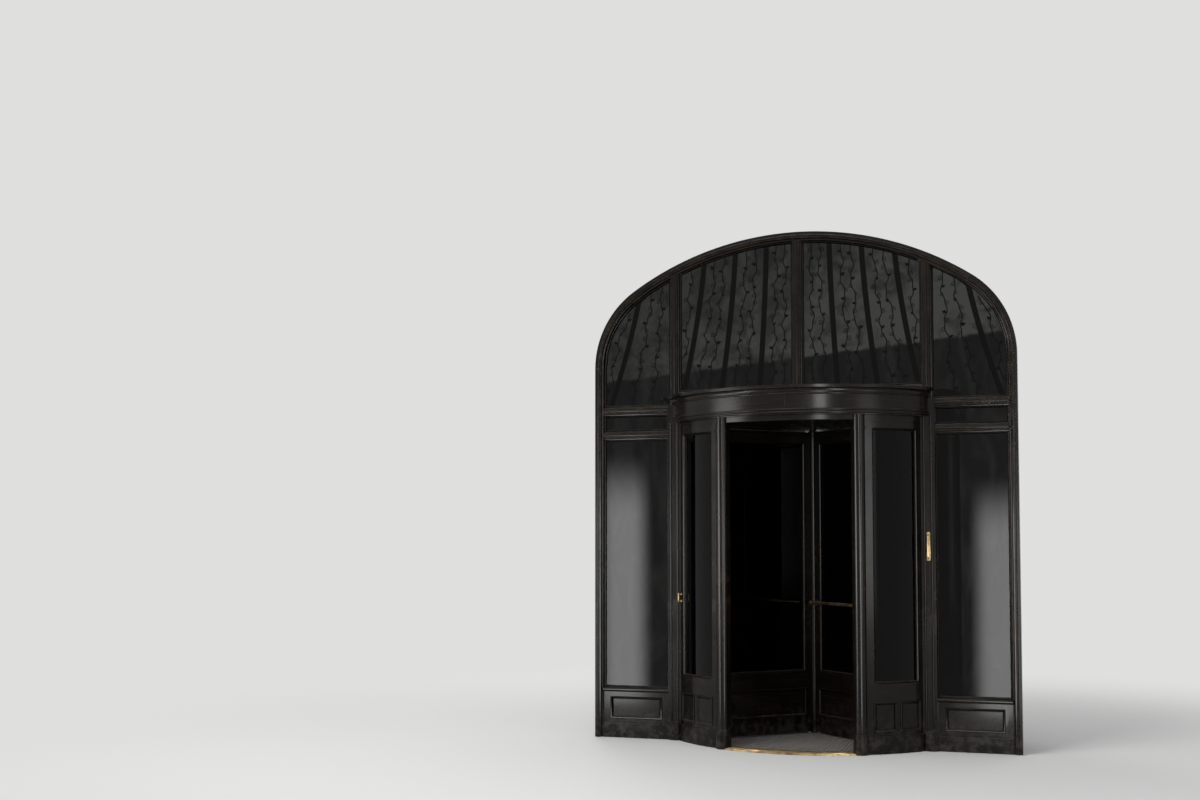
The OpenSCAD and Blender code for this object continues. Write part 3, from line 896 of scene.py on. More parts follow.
def finish_maker(sheet: Sheet, made: NodeSocket, material: NodeSocket, output: Node) -> NodeTree:
    """End a maker's tree: instances made real, and the material set.

    Args:
        sheet: The tree's sheet.
        made: The geometry.
        material: The socket that gives the finish.
        output: The tree's output node.

    Returns:
        The tree.
    """
    real = sheet.fed("GeometryNodeRealizeInstances", Geometry=made)
    painted = sheet.fed("GeometryNodeSetMaterial", Geometry=real.outputs[0], Material=material)
    sheet.feed(output.inputs[0], painted.outputs[0])
    return sheet.tree


def made_by(tree: NodeTree, carrier: Mesh, values: dict[str, object],
            patterns: Sequence[Object] = ()) -> BMesh:
    """Run a maker's tree on a carrier mesh.

    Args:
        tree: The maker.
        carrier: The mesh that it starts from, which is used up.
        values: Its inputs by name.
        patterns: Objects that it repeats, which are used up.

    Returns:
        The result as a plain mesh.
    """
    holder = in_scene(tree.name, carrier)
    modifier = holder.modifiers.new(tree.name, "NODES")
    modifier.node_group = tree
    for item in tree.interface.items_tree:
        if item.item_type == "SOCKET" and item.in_out == "INPUT" and item.name in values:
            modifier[item.identifier] = values[item.name]
    depsgraph = bpy.context.evaluated_depsgraph_get()
    plain = bpy.data.meshes.new_from_object(holder.evaluated_get(depsgraph), depsgraph=depsgraph)
    result = bmesh.new()
    result.from_mesh(plain)
    for thing in (holder, *patterns):
        data = thing.data
        bpy.data.objects.remove(thing)
        bpy.data.meshes.remove(data)
    bpy.data.meshes.remove(plain)
    return result


def pattern_of(name: str, mesh: BMesh) -> Object:
    """Hold a small mesh as an object, for a maker to repeat.

    Args:
        name: The object's name.
        mesh: Its mesh, which is used up.

    Returns:
        The object.
    """
    return in_scene(name, settled(name, mesh))


def lines_mesh(lines: Sequence[Sequence[Vector]]) -> Mesh:
    """Make a mesh of open lines of edges.

    Args:
        lines: The points of each line.

    Returns:
        The mesh.
    """
    points, edges = [], []
    for line in lines:
        start = len(points)
        points += [tuple(p) for p in line]
        edges += [(start + i, start + i + 1) for i in range(len(line) - 1)]
    data = bpy.data.meshes.new("lines")
    data.from_pydata(points, edges, [])
    return data


class Makers:
    """The Geometry Nodes trees of the door, each built once."""

    ridge_sides: int = 8
    stem_sides: int = 7
    stem_step: float = 0.014
    phase_per_metre: float = 9.0
    quick_turns: float = 2.7
    quick_share: float = 0.32
    end_fade: float = 9.0
    bare_end: float = 0.03
    curl_sides: int = 5
    curl_share: float = 0.55
    curl_r: float = 0.019

    def __init__(self) -> None:
        """Build every tree."""
        self.vine = self._vine()
        self.ridge = self._ridge()
        self.screws = self._screws()

    @staticmethod
    def _tube(sheet: Sheet, line: object, radius: object, sides: int) -> NodeSocket:
        """Sweep a circle along a curve, with closed ends."""
        circle = sheet.fed("GeometryNodeCurvePrimitiveCircle", Resolution=sides, Radius=radius)
        return sheet.fed("GeometryNodeCurveToMesh", Curve=line, Profile_Curve=circle.outputs[0],
                         Fill_Caps=True).outputs[0]

    @staticmethod
    def _resampled(sheet: Sheet, line: object, length: object) -> NodeSocket:
        """Resample a curve to points at a distance."""
        return sheet.fed("GeometryNodeResampleCurve", {"mode": "LENGTH"}, Curve=line, Length=length).outputs[0]

    @staticmethod
    def _random(sheet: Sheet, low: float, high: float, seed: object) -> NodeSocket:
        """Give a random value for each copy."""
        node = sheet.add("FunctionNodeRandomValue", data_type="FLOAT")
        floats = sheet.of_type(node.inputs, "VALUE")
        floats[0].default_value, floats[1].default_value = low, high
        sheet.feed(node.inputs["Seed"], seed)
        return sheet.of_type(node.outputs, "VALUE")[0]

    def _ridge(self) -> NodeTree:
        """Build the maker of round ridges along lines."""
        sheet, takes, output = new_maker("ridge_maker", {"Radius": "Float", "Finish": "Material"})
        lines = sheet.fed("GeometryNodeMeshToCurve", Mesh=takes["Geometry"])
        tube = self._tube(sheet, lines.outputs[0], takes["Radius"], self.ridge_sides)
        return finish_maker(sheet, tube, takes["Finish"], output)

    def _vine(self) -> NodeTree:
        """Build the maker of climbing vines: a waving stem with leaves and curls by turns."""
        sheet, takes, output = new_maker("vine_maker", {
            "Stem Radius": "Float", "Wave": "Float", "Wave Length": "Float", "Leaf Spacing": "Float",
            "Leaf": "Object", "Seed": "Int", "Finish": "Material"})
        lines = sheet.fed("GeometryNodeMeshToCurve", Mesh=takes["Geometry"])
        fine = self._resampled(sheet, lines.outputs[0], self.stem_step)
        along = sheet.add("GeometryNodeSplineParameter")
        factor = along.outputs["Factor"]
        x = sheet.parts(sheet.add("GeometryNodeInputPosition").outputs[0])[0]
        waves = sheet.math("DIVIDE", sheet.times(along.outputs["Length"], math.tau), takes["Wave Length"])
        turn = sheet.plus(waves, sheet.times(x, self.phase_per_metre))
        quick = sheet.times(sheet.math("SINE", sheet.times(turn, self.quick_turns)), self.quick_share)
        swing = sheet.times(sheet.plus(sheet.math("SINE", turn), quick), takes["Wave"])
        ends = sheet.times(factor, sheet.math("SUBTRACT", 1.0, factor))
        across = sheet.times(swing, sheet.times(ends, self.end_fade, clamp=True))
        shift = sheet.fed("ShaderNodeCombineXYZ", X=across).outputs[0]
        moved = sheet.fed("GeometryNodeSetPosition", Geometry=fine, Offset=shift)
        stem = self._tube(sheet, moved.outputs[0], takes["Stem Radius"], self.stem_sides)

        leaf = sheet.fed("GeometryNodeObjectInfo", Object=takes["Leaf"])
        curl = self._curl(sheet, takes["Stem Radius"])
        kinds = sheet.add("GeometryNodeJoinGeometry")
        for shape in (curl, leaf.outputs["Geometry"]):
            wrapped = sheet.fed("GeometryNodeGeometryToInstance", Geometry=shape)
            sheet.tree.links.new(wrapped.outputs[0], kinds.inputs[0])
        spots = self._resampled(sheet, moved.outputs[0], takes["Leaf Spacing"])
        index = sheet.add("GeometryNodeInputIndex").outputs[0]
        hand = sheet.math("SUBTRACT", sheet.times(sheet.math("MODULO", index, 2.0), 2.0), 1.0)
        inner = sheet.add("FunctionNodeCompare", data_type="FLOAT", operation="LESS_THAN")
        place = sheet.add("GeometryNodeSplineParameter").outputs["Factor"]
        sheet.fill(inner, A=sheet.math("ABSOLUTE", sheet.math("SUBTRACT", place, 0.5)), B=0.5 - self.bare_end)
        angle, scale = (self._random(sheet, low, high, sheet.plus(takes["Seed"], shift))
                        for low, high, shift in ((0.75, 1.35, 0.0), (0.75, 1.15, 7.0)))
        turned = sheet.fed("ShaderNodeCombineXYZ", Y=sheet.times(hand, angle))
        kind = sheet.math("MINIMUM", sheet.math("MODULO", index, 3.0), 1.0)
        copies = sheet.fed("GeometryNodeInstanceOnPoints", Points=spots, Selection=inner.outputs[0],
                           Instance=kinds.outputs[0], Pick_Instance=True, Instance_Index=kind,
                           Rotation=turned.outputs[0], Scale=scale)
        both = sheet.add("GeometryNodeJoinGeometry")
        for shape in (stem, copies.outputs[0]):
            sheet.tree.links.new(shape, both.inputs[0])
        return finish_maker(sheet, both.outputs[0], takes["Finish"], output)

    def _curl(self, sheet: Sheet, radius: NodeSocket) -> NodeSocket:
        """Make the tendril that curls away from the stem, in the plane of the glass."""
        spiral = sheet.fed("GeometryNodeCurveSpiral", Resolution=14, Rotations=1.6, Start_Radius=0.004,
                           End_Radius=self.curl_r, Height=0.0)
        tube = self._tube(sheet, spiral.outputs[0], sheet.times(radius, self.curl_share), self.curl_sides)
        return sheet.fed("GeometryNodeTransform", Geometry=tube, Rotation=(math.pi / 2, 0.0, 0.0),
                         Translation=(0.0, 0.0, self.curl_r)).outputs[0]

    def _screws(self) -> NodeTree:
        """Build the maker of screw heads, one on each point of the carrier, facing its "out" way."""
        sheet, takes, output = new_maker("screw_maker", {"Head": "Object", "Seed": "Int", "Finish": "Material"})
        head = sheet.fed("GeometryNodeObjectInfo", Object=takes["Head"])
        way = sheet.fed("GeometryNodeInputNamedAttribute", {"data_type": "FLOAT_VECTOR"}, Name="out")
        faced = sheet.fed("FunctionNodeAlignRotationToVector", {"axis": "Z"},
                          Vector=sheet.of_type(way.outputs, "VECTOR")[0])
        about = sheet.fed("ShaderNodeCombineXYZ", Z=self._random(sheet, 0.0, math.pi, takes["Seed"]))
        rotated = sheet.add("FunctionNodeRotateRotation", rotation_space="LOCAL")
        sheet.fill(rotated, faced.outputs[0], about.outputs[0])
        copies = sheet.fed("GeometryNodeInstanceOnPoints", Points=takes["Geometry"],
                           Instance=head.outputs["Geometry"], Rotation=rotated.outputs[0])
        return finish_maker(sheet, copies.outputs[0], takes["Finish"], output)


def rgba(colour: Colour) -> tuple[float, float, float, float]:
    """Give a colour its full alpha."""
    return (*colour, 1.0)


@dataclass(frozen=True)
class Finish:
    """A finish: it knows its name and paints a Principled material."""

    name: str

    def make(self, effects: Effects) -> Material:
        """Build the material.

        Args:
            effects: The shared effects.

        Returns:
            The material.
        """
        material, sheet = new_material(self.name)
        self.paint(sheet, material.node_tree.nodes["Principled BSDF"], effects)
        return material

    def paint(self, sheet: Sheet, shader: Node, effects: Effects) -> None:
        """Fill in the material's nodes."""
        raise NotImplementedError


@dataclass(frozen=True)
class VarnishedTimber(Finish):
    """Old timber under a dark varnish."""

    dark: Colour = (0.0028, 0.0022, 0.0018)
    light: Colour = (0.0270, 0.0158, 0.0090)
    dusty: Colour = (0.060, 0.053, 0.045)
    # Colour of the eased edges: bared wood, and a painted highlight.
    bared_and_highlit: Colour = (0.105, 0.066, 0.038)
    rough: float = 0.18
    coat: float = 0.13
    dust: float = 0.65

    def paint(self, sheet: Sheet, shader: Node, effects: Effects) -> None:
        """Lay grain, varnish, rubbed patches, dust, and lighter edges that are part wear and part painted highlight."""
        place = sheet.place()
        grain = sheet.add("ShaderNodeAttribute", attribute_name="grain").outputs["Vector"]
        wood = sheet.effect(effects.grain, Grain=grain)
        dust = sheet.effect(effects.dust, Place=place, Amount=self.dust).outputs[0]
        rubbed = sheet.effect(effects.rubbed, Place=place, Amount=0.6).outputs[0]
        streak = sheet.times(sheet.ramp(wood.outputs["Fibre"], 0.42, 0.66),
                             sheet.ramp(wood.outputs["Figure"], 0.34, 0.70, 0.15, 1.0))
        bare = sheet.mix(streak, rgba(self.dark), rgba(self.light))
        pored = sheet.mix(sheet.times(wood.outputs["Pores"], 0.35), rgba(self.dark), bare)
        worn = sheet.mix(sheet.times(rubbed, 0.50), pored, rgba(tuple(c * 1.35 for c in self.light)))
        # Painted highlight and wear: every eased arris turns patchily to the light edge colour.
        arris = sheet.times(sheet.add("ShaderNodeAttribute", attribute_name="worn").outputs["Fac"],
                            sheet.ramp(sheet.noise(place, 13.0, 6.0, 0.65), 0.42, 0.64))
        edge_wear_and_highlight = sheet.mix(arris, worn, rgba(self.bared_and_highlit))
        uneven = sheet.ramp(sheet.noise(place, 3.1, 5.0), 0.30, 0.75, 0.0, 0.12)
        dulled = sheet.plus(sheet.times(dust, 0.40), sheet.times(rubbed, 0.16))
        relief = sheet.plus(sheet.times(wood.outputs["Fibre"], 0.6), sheet.times(sheet.noise(place, 38.0, 3.0), 0.8))
        sheet.fill(shader, Base_Color=sheet.mix(dust, edge_wear_and_highlight, rgba(self.dusty)),
                   Roughness=sheet.plus(sheet.plus(uneven, self.rough), dulled, clamp=True),
                   Coat_Weight=sheet.times(sheet.math("SUBTRACT", 1.0, dust), self.coat), Coat_Roughness=0.10,
                   Specular_IOR_Level=0.12, Normal=sheet.bump(relief, 0.30, 0.0009))


@dataclass(frozen=True)
class PlateGlass(Finish):
    """Polished plate glass, dark against an unlit lobby, with smears."""

    # Almost black: painted shade of the unlit lobby behind the glass.
    painted_shade_tint: Colour = (0.0045, 0.0050, 0.0048)
    # Colour of smears, and of the painted reflection in the fanlight.
    smear_and_reflection: Colour = (0.044, 0.046, 0.042)
    reflection_from: float | None = None
    reflection_slope: float = 0.0935

    def paint(self, sheet: Sheet, shader: Node, effects: Effects) -> None:
        """Lay the almost black tint that paints the lobby's shade, smears and, on the fanlight, a painted reflection.
        """
        place = sheet.place()
        x, _, z = sheet.parts(place)
        smear = sheet.ramp(sheet.noise(sheet.stretched(place, (3.0, 3.0, 1.1)), 2.0, 5.0, 0.6, 0.8), 0.42, 0.75)
        colour = sheet.mix(sheet.times(smear, 0.25), rgba(self.painted_shade_tint), rgba(self.smear_and_reflection))
        rough = sheet.plus(sheet.times(smear, 0.05), 0.015)
        # Painted reflection: above a sloping, wavy edge the glass turns lighter and mottled, most to the right and just
        # over the edge, and a little rougher.
        if self.reflection_from is not None:
            edge = sheet.math("SUBTRACT", z, sheet.times(x, self.reflection_slope))
            wavy = sheet.times(sheet.noise(place, 14.0, 3.0), 0.05)
            above = sheet.ramp(sheet.plus(edge, wavy), self.reflection_from, self.reflection_from + 0.035)
            mottle = sheet.ramp(sheet.noise(place, 5.5, 7.0, 0.70, 0.6), 0.32, 0.68, 0.30, 1.40)
            brighter = sheet.times(sheet.ramp(x, -1.5, 1.6, 0.50, 1.15),
                                   sheet.ramp(edge, self.reflection_from, self.reflection_from + 0.9, 1.15, 0.70))
            share = sheet.times(above, sheet.times(mottle, brighter), clamp=True)
            colour = sheet.mix(share, colour, rgba(tuple(c * 1.25 for c in self.smear_and_reflection)))
            rough = sheet.plus(rough, sheet.times(above, 0.06))
        ripple = sheet.noise(sheet.stretched(place, (1.0, 1.0, 0.4)), 5.0, 2.0)
        sheet.fill(shader, Base_Color=colour, Roughness=rough, Transmission_Weight=1.0, IOR=1.22,
                   Normal=sheet.bump(ripple, 0.10, 0.002))


@dataclass(frozen=True)
class PaintedIron(Finish):
    """Wrought iron under old black paint."""

    paint_colour: Colour = (0.012, 0.012, 0.012)
    rust: Colour = (0.045, 0.022, 0.012)
    dusty: Colour = (0.10, 0.09, 0.08)

    def paint(self, sheet: Sheet, shader: Node, effects: Effects) -> None:
        """Lay paint, a little rust and hammer marks."""
        place = sheet.place()
        specks = sheet.ramp(sheet.noise(place, 46.0, 5.0, 0.6), 0.60, 0.74)
        dust = sheet.effect(effects.dust, Place=place, Amount=0.5).outputs[0]
        colour = sheet.mix(specks, rgba(self.paint_colour), rgba(self.rust))
        sheet.fill(shader, Base_Color=sheet.mix(dust, colour, rgba(self.dusty)),
                   Roughness=sheet.plus(sheet.times(specks, 0.35), 0.42),
                   Normal=sheet.bump(sheet.noise(place, 60.0, 3.0), 0.35, 0.0012))


@dataclass(frozen=True)
class AgedBrass(Finish):
    """Brass that hands keep bright in places and that has dulled elsewhere."""

    bright: Colour = (0.56, 0.41, 0.20)
    dull: Colour = (0.14, 0.098, 0.052)
    dusty: Colour = (0.13, 0.11, 0.085)

    def paint(self, sheet: Sheet, shader: Node, effects: Effects) -> None:
        """Lay brass, tarnish, fine scratches and dust."""
        place = sheet.place()
        tarnish = sheet.ramp(sheet.noise(place, 11.0, 6.0, 0.62), 0.36, 0.66)
        scratch = sheet.noise(sheet.stretched(place, (160.0, 160.0, 9.0)), 3.0, 2.0)
        dust = sheet.effect(effects.dust, Place=place, Amount=0.6).outputs[0]
        colour = sheet.mix(tarnish, rgba(self.bright), rgba(self.dull))
        dulled = sheet.plus(sheet.times(dust, 0.35), sheet.times(scratch, 0.10))
        sheet.fill(shader, Base_Color=sheet.mix(dust, colour, rgba(self.dusty)),
                   Metallic=sheet.math("SUBTRACT", 1.0, sheet.times(dust, 0.8)),
                   Roughness=sheet.plus(sheet.plus(sheet.times(tarnish, 0.20), 0.20), dulled, clamp=True),
                   Normal=sheet.bump(scratch, 0.10, 0.0004))


@dataclass(frozen=True)
class CoirMat(Finish):
    """Brushed coir, trodden flat and grey along the walking line."""

    fibre: Colour = (0.085, 0.052, 0.027)
    shade: Colour = (0.020, 0.013, 0.008)
    trodden: Colour = (0.082, 0.066, 0.049)

    def paint(self, sheet: Sheet, shader: Node, effects: Effects) -> None:
        """Lay bristle ends and the trodden ring."""
        place = sheet.place()
        tufts = sheet.plus(sheet.times(sheet.noise(place, 340.0, 2.0), 0.55),
                           sheet.times(sheet.noise(place, 62.0, 3.0), 0.45))
        bristle = sheet.ramp(tufts, 0.38, 0.62)
        radius = sheet.from_axis(place)
        ring = sheet.times(sheet.ramp(radius, 0.25, 0.55), sheet.ramp(radius, 0.75, 1.05, 1.0, 0.0))
        patchy = sheet.times(ring, sheet.ramp(sheet.noise(place, 5.0, 5.0), 0.30, 0.70, 0.1, 0.7))
        colour = sheet.mix(patchy, sheet.mix(bristle, rgba(self.shade), rgba(self.fibre)), rgba(self.trodden))
        sheet.fill(shader, Base_Color=colour, Roughness=0.95, Sheen_Weight=0.25,
                   Normal=sheet.bump(bristle, 0.9, 0.0025))


@dataclass(frozen=True)
class BrushSeal(Finish):
    """Black horsehair and felt in the wings' edge seals."""

    hair: Colour = (0.018, 0.016, 0.014)
    worn: Colour = (0.060, 0.054, 0.046)

    def paint(self, sheet: Sheet, shader: Node, effects: Effects) -> None:
        """Lay fine hair and its worn tips."""
        place = sheet.place()
        hair = sheet.noise(sheet.stretched(place, (90.0, 90.0, 400.0)), 1.0, 3.0)
        colour = sheet.mix(sheet.ramp(hair, 0.40, 0.70), rgba(self.hair), rgba(self.worn))
        sheet.fill(shader, Base_Color=colour, Roughness=0.9, Normal=sheet.bump(hair, 0.8, 0.002))


class Palette:
    """Every finish of the door, and the makers' trees, each made once."""

    def __init__(self) -> None:
        """Make the trees and the materials."""
        self.makers = Makers()
        effects = Effects()
        self.timber = VarnishedTimber("dark_varnished_timber").make(effects)
        self.boards = VarnishedTimber("dark_boards", rough=0.50, coat=0.05, dust=1.0).make(effects)
        self.plate = PlateGlass("plate_glass").make(effects)
        # The fanlight's glass carries a painted reflection above a sloping edge.
        self.fanlight = PlateGlass("filmed_fanlight_glass", reflection_from=3.046).make(effects)
        self.iron = PaintedIron("painted_iron").make(effects)
        self.brass = AgedBrass("aged_brass_metal").make(effects)
        self.mat = CoirMat("coir_matting").make(effects)
        self.brush = BrushSeal("brush_seal_hair").make(effects)


def dress_node(node: str, finish: Material) -> None:
    """Give a construction node that stays its finish and slot.

    Args:
        node: The node's name.
        finish: Its material.
    """
    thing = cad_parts[node]
    thing.data.materials.clear()
    thing.data.materials.append(finish)
    LOG.info("%-26s kept node", node)


@dataclass
class Assembly:
    """A sub-assembly of the door, which knows the door's sizes and finishes."""

    sizes: DoorSizes
    palette: Palette

    def build(self) -> None:
        """Build and dress the sub-assembly."""
        raise NotImplementedError

    def ease(self, node: str, plan: Plan, cuts: Sequence[Cut] = (), mesh: BMesh | None = None,
             body: Body = Body.SCREEN, turn: float = 0.0, soft: bool = False) -> None:
        """Replace a construction node by its eased copy with grain.

        Args:
            node: The node's name.
            plan: Tells which member a point belongs to.
            cuts: Planes at which one member meets the next.
            mesh: The copy, where it is changed first; it is used up.
            body: The body that the piece moves with.
            turn: Angle at which it stands round the axis.
            soft: True for a piece with brush seals.
        """
        mesh = mesh or merged_copy(node)
        cut_at(mesh, cuts)
        ease_edges(mesh, EASE)
        lay_grain(mesh, plan, self.sizes, turn)
        finishes = [self.palette.timber, self.palette.brush] if soft else [self.palette.timber]
        set_piece(f"{node}_timber", mesh, finishes, body, [node])

    def trim(self, name: str, mesh: BMesh, body: Body = Body.SCREEN) -> None:
        """Make a piece of timber trim."""
        set_piece(name, mesh, [self.palette.timber], body)

    def metal(self, name: str, mesh: BMesh, slot: Slot = Slot.BRASS) -> None:
        """Make a piece of brass or iron on the screen."""
        finish = self.palette.brass if slot is Slot.BRASS else self.palette.iron
        set_piece(name, mesh, [finish], Body.SCREEN)


# --- mouldings

GLAZING_BEAD: Profile = ((0.0, 0.0), (0.0, 0.013), (0.005, 0.0155), (0.011, 0.012), (0.016, 0.0045), (0.016, 0.0))
PANEL_MOULD: Profile = ((-0.006, -0.002), (-0.006, 0.004), (-0.001, 0.008), (0.005, 0.007), (0.009, 0.002),
                        (0.014, -0.004), (0.014, -0.0135), (0.0005, -0.0135), (0.0005, -0.002))


def oblong(x0: float, x1: float, z0: float, z1: float, y: float, out: Vector) -> Path:
    """Lay out an oblong in an upright plane, counter-clockwise as its viewer sees it.

    Args:
        x0: Left edge.
        x1: Right edge.
        z0: Bottom edge.
        z1: Top edge.
        y: The plane.
        out: The way it faces.

    Returns:
        The corners, and the way that each faces.
    """
    corners = [Vector((x0, y, z0)), Vector((x1, y, z0)), Vector((x1, y, z1)), Vector((x0, y, z1))]
    if out.y > 0:
        corners.reverse()
    return corners, [out] * 4


def bent_oblong(a0: float, a1: float, z0: float, z1: float, radius: float, outside: bool,
                steps: int = 12) -> Path:
    """Lay out an oblong on the drum, counter-clockwise as its viewer sees it.

    Args:
        a0: Angle of its first edge.
        a1: Angle of its second edge.
        z0: Bottom edge.
        z1: Top edge.
        radius: Radius of the surface.
        outside: True when it is seen from outside the drum.
        steps: Straight lengths along each bent edge.

    Returns:
        The points, and the way that each faces.
    """
    angles = [a0 + (a1 - a0) * i / steps for i in range(steps + 1)]
    loop = [(a, z0) for a in angles] + [(a, z1) for a in reversed(angles)]
    if not outside:
        loop.reverse()
    side = 1.0 if outside else -1.0
    return ([around(a, radius, z) for a, z in loop],
            [Vector((math.cos(a), math.sin(a), 0.0)) * side for a, _ in loop])


def mirrored(points: Path) -> Path:
    """Mirror a path to the left side, and turn it back to counter-clockwise.

    Args:
        points: The path's points, and the way that each faces.

    Returns:
        The same of the mirrored path.
    """
    flip = Vector((-1, 1, 1))
    return tuple([v * flip for v in reversed(part)] for part in points)


# --- the screen

@dataclass
class ArchedScreen(Assembly):
    """The flat screen: arched frame, mullions, transoms, side bays and their panelling."""

    dado_split: float = 0.25
    bead_steps: int = 40
    bead_lap: float = 0.0005
    bead_least: float = 0.002

    def build(self) -> None:
        """Build and dress the whole screen."""
        self.frame_and_bars()
        self.panelling()
        self.posts()
        self.glass()
        self.fanlight_beads()
        self.bay_beads()

    def _faces(self, depth: float) -> list[tuple[float, Vector]]:
        """Give the planes of both faces of something in the screen, and the way that each faces."""
        return [(-self.sizes.screen_y + out.y * depth / 2, out) for out in (STREET, LOBBY)]

    def frame_and_bars(self) -> None:
        """Ease the arched frame, the mullions and the transoms."""
        s = self.sizes
        turn_x = s.crown_r * math.sin(s.crown_half)

        def arch_member(p: Vector) -> Member:
            """Tell the jambs, the haunches and the crown apart."""
            if p.z < s.springing_z:
                return Member(Run.UPRIGHT, 1 if p.x < 0 else 2)
            return Member(Run.ARCH, 3 if abs(p.x) < turn_x else 4 if p.x < 0 else 5)

        self.ease("arch_frame", arch_member)
        self.ease("fanlight_mullions", lambda p: Member(Run.UPRIGHT, 6 + round(p.x)))
        self.ease("transom_centre", lambda p: Member(Run.LEVEL, 9))
        for number, side in ((10, Side.LEFT), (12, Side.RIGHT)):
            self.ease(f"side_transom_{side.value}",
                        lambda p, n=number: Member(Run.LEVEL, n + (p.z > s.transom_z + s.bar_h)))

    def panelling(self) -> None:
        """Ease the lower panelling, whose rails stand between two stiles, and mould its panels."""
        s = self.sizes
        edges = (s.bay_x0 + s.seat + s.panel_stile, s.bay_x1 - s.seat - s.panel_stile)
        for number, side in ((14, Side.LEFT), (18, Side.RIGHT)):
            def member(p: Vector, n: int = number) -> Member:
                """Tell skirting, rails and ledge from the stiles."""
                level = p.z < s.skirting_h and abs(p.y + s.screen_y) > s.dado_d / 2 - TOUCH
                if level or p.z > s.ledge_z - s.ledge_h or edges[0] < abs(p.x) < edges[1]:
                    return Member(Run.LEVEL, n + (p.z > self.dado_split))
                return Member(Run.UPRIGHT, n + 2)

            cuts = [(Vector((side.sign * x, 0, 0)), Vector((1, 0, 0))) for x in edges]
            self.ease(f"dado_{side.value}", member, cuts)
        mesh = bmesh.new()
        z0, z1 = s.skirting_h + s.dado_rail, s.ledge_z - s.ledge_h - s.dado_rail
        for side in Side:
            xs = sorted(side.sign * x for x in edges)
            for y, out in self._faces(s.dado_d):
                mitred_run(mesh, *oblong(*xs, z0, z1, y, out), PANEL_MOULD, 3)
        self.trim("dado_panel_mouldings", mesh)

    def posts(self) -> None:
        """Ease the two main posts."""
        for number, side in ((22, Side.LEFT), (23, Side.RIGHT)):
            self.ease(f"main_post_{side.value}", lambda p, n=number: Member(Run.UPRIGHT, n))

    def glass(self) -> None:
        """Finish the screen's panes, which stay as they are constructed."""
        dress_node("fanlight_glass", self.palette.fanlight)
        for side in Side:
            dress_node(f"side_glass_{side.value}", self.palette.plate)

    def _arched_light(self, x0: float, x1: float, z0: float, y: float, out: Vector) -> Path:
        """Lay out a light of the fanlight, whose top follows the arch.

        Args:
            x0: Left edge.
            x1: Right edge.
            z0: Bottom edge.
            y: The plane.
            out: The way it faces.

        Returns:
            The points, and the way that each faces.
        """
        s = self.sizes
        steps = self.bead_steps
        top = [x1 + (x0 - x1) * i / steps for i in range(steps + 1)]
        loop = [Vector((x0, y, z0)), Vector((x1, y, z0))]
        loop += [Vector((x, y, s.arch_z(x, s.frame_w + self.bead_lap))) for x in top]
        loop = [p for i, p in enumerate(loop) if i == 0 or (p - loop[i - 1]).length > self.bead_least]
        if out.y > 0:
            loop.reverse()
        return loop, [out] * len(loop)

    def fanlight_beads(self) -> None:
        """Bead the fanlight's four lights on both faces."""
        s = self.sizes
        mesh = bmesh.new()
        half = s.mullion_w / 2
        lights = [(half, s.post_x - half, s.centre_foot), (s.post_x + half, s.bay_x1 - self.bead_lap, s.transom_top)]
        for x0, x1, z0 in lights:
            for side in Side:
                ends = sorted((side.sign * x0, side.sign * x1))
                for y, out in self._faces(s.pane_t):
                    mitred_run(mesh, *self._arched_light(*ends, z0, y, out), GLAZING_BEAD, 5)
        self.trim("fanlight_glazing_beads", mesh)

    def bay_beads(self) -> None:
        """Bead the side bays' tall panes and frieze panes on both faces."""
        s = self.sizes
        mesh = bmesh.new()
        heights = ((s.ledge_z, s.transom_z), (s.transom_z + s.bar_h, s.transom_top - s.bar_h))
        for side in Side:
            xs = sorted(side.sign * x for x in (s.bay_x0, s.bay_x1))
            for z0, z1 in heights:
                for y, out in self._faces(s.pane_t):
                    mitred_run(mesh, *oblong(*xs, z0, z1, y, out), GLAZING_BEAD, 7)
        self.trim("side_bay_glazing_beads", mesh)


# --- the drum

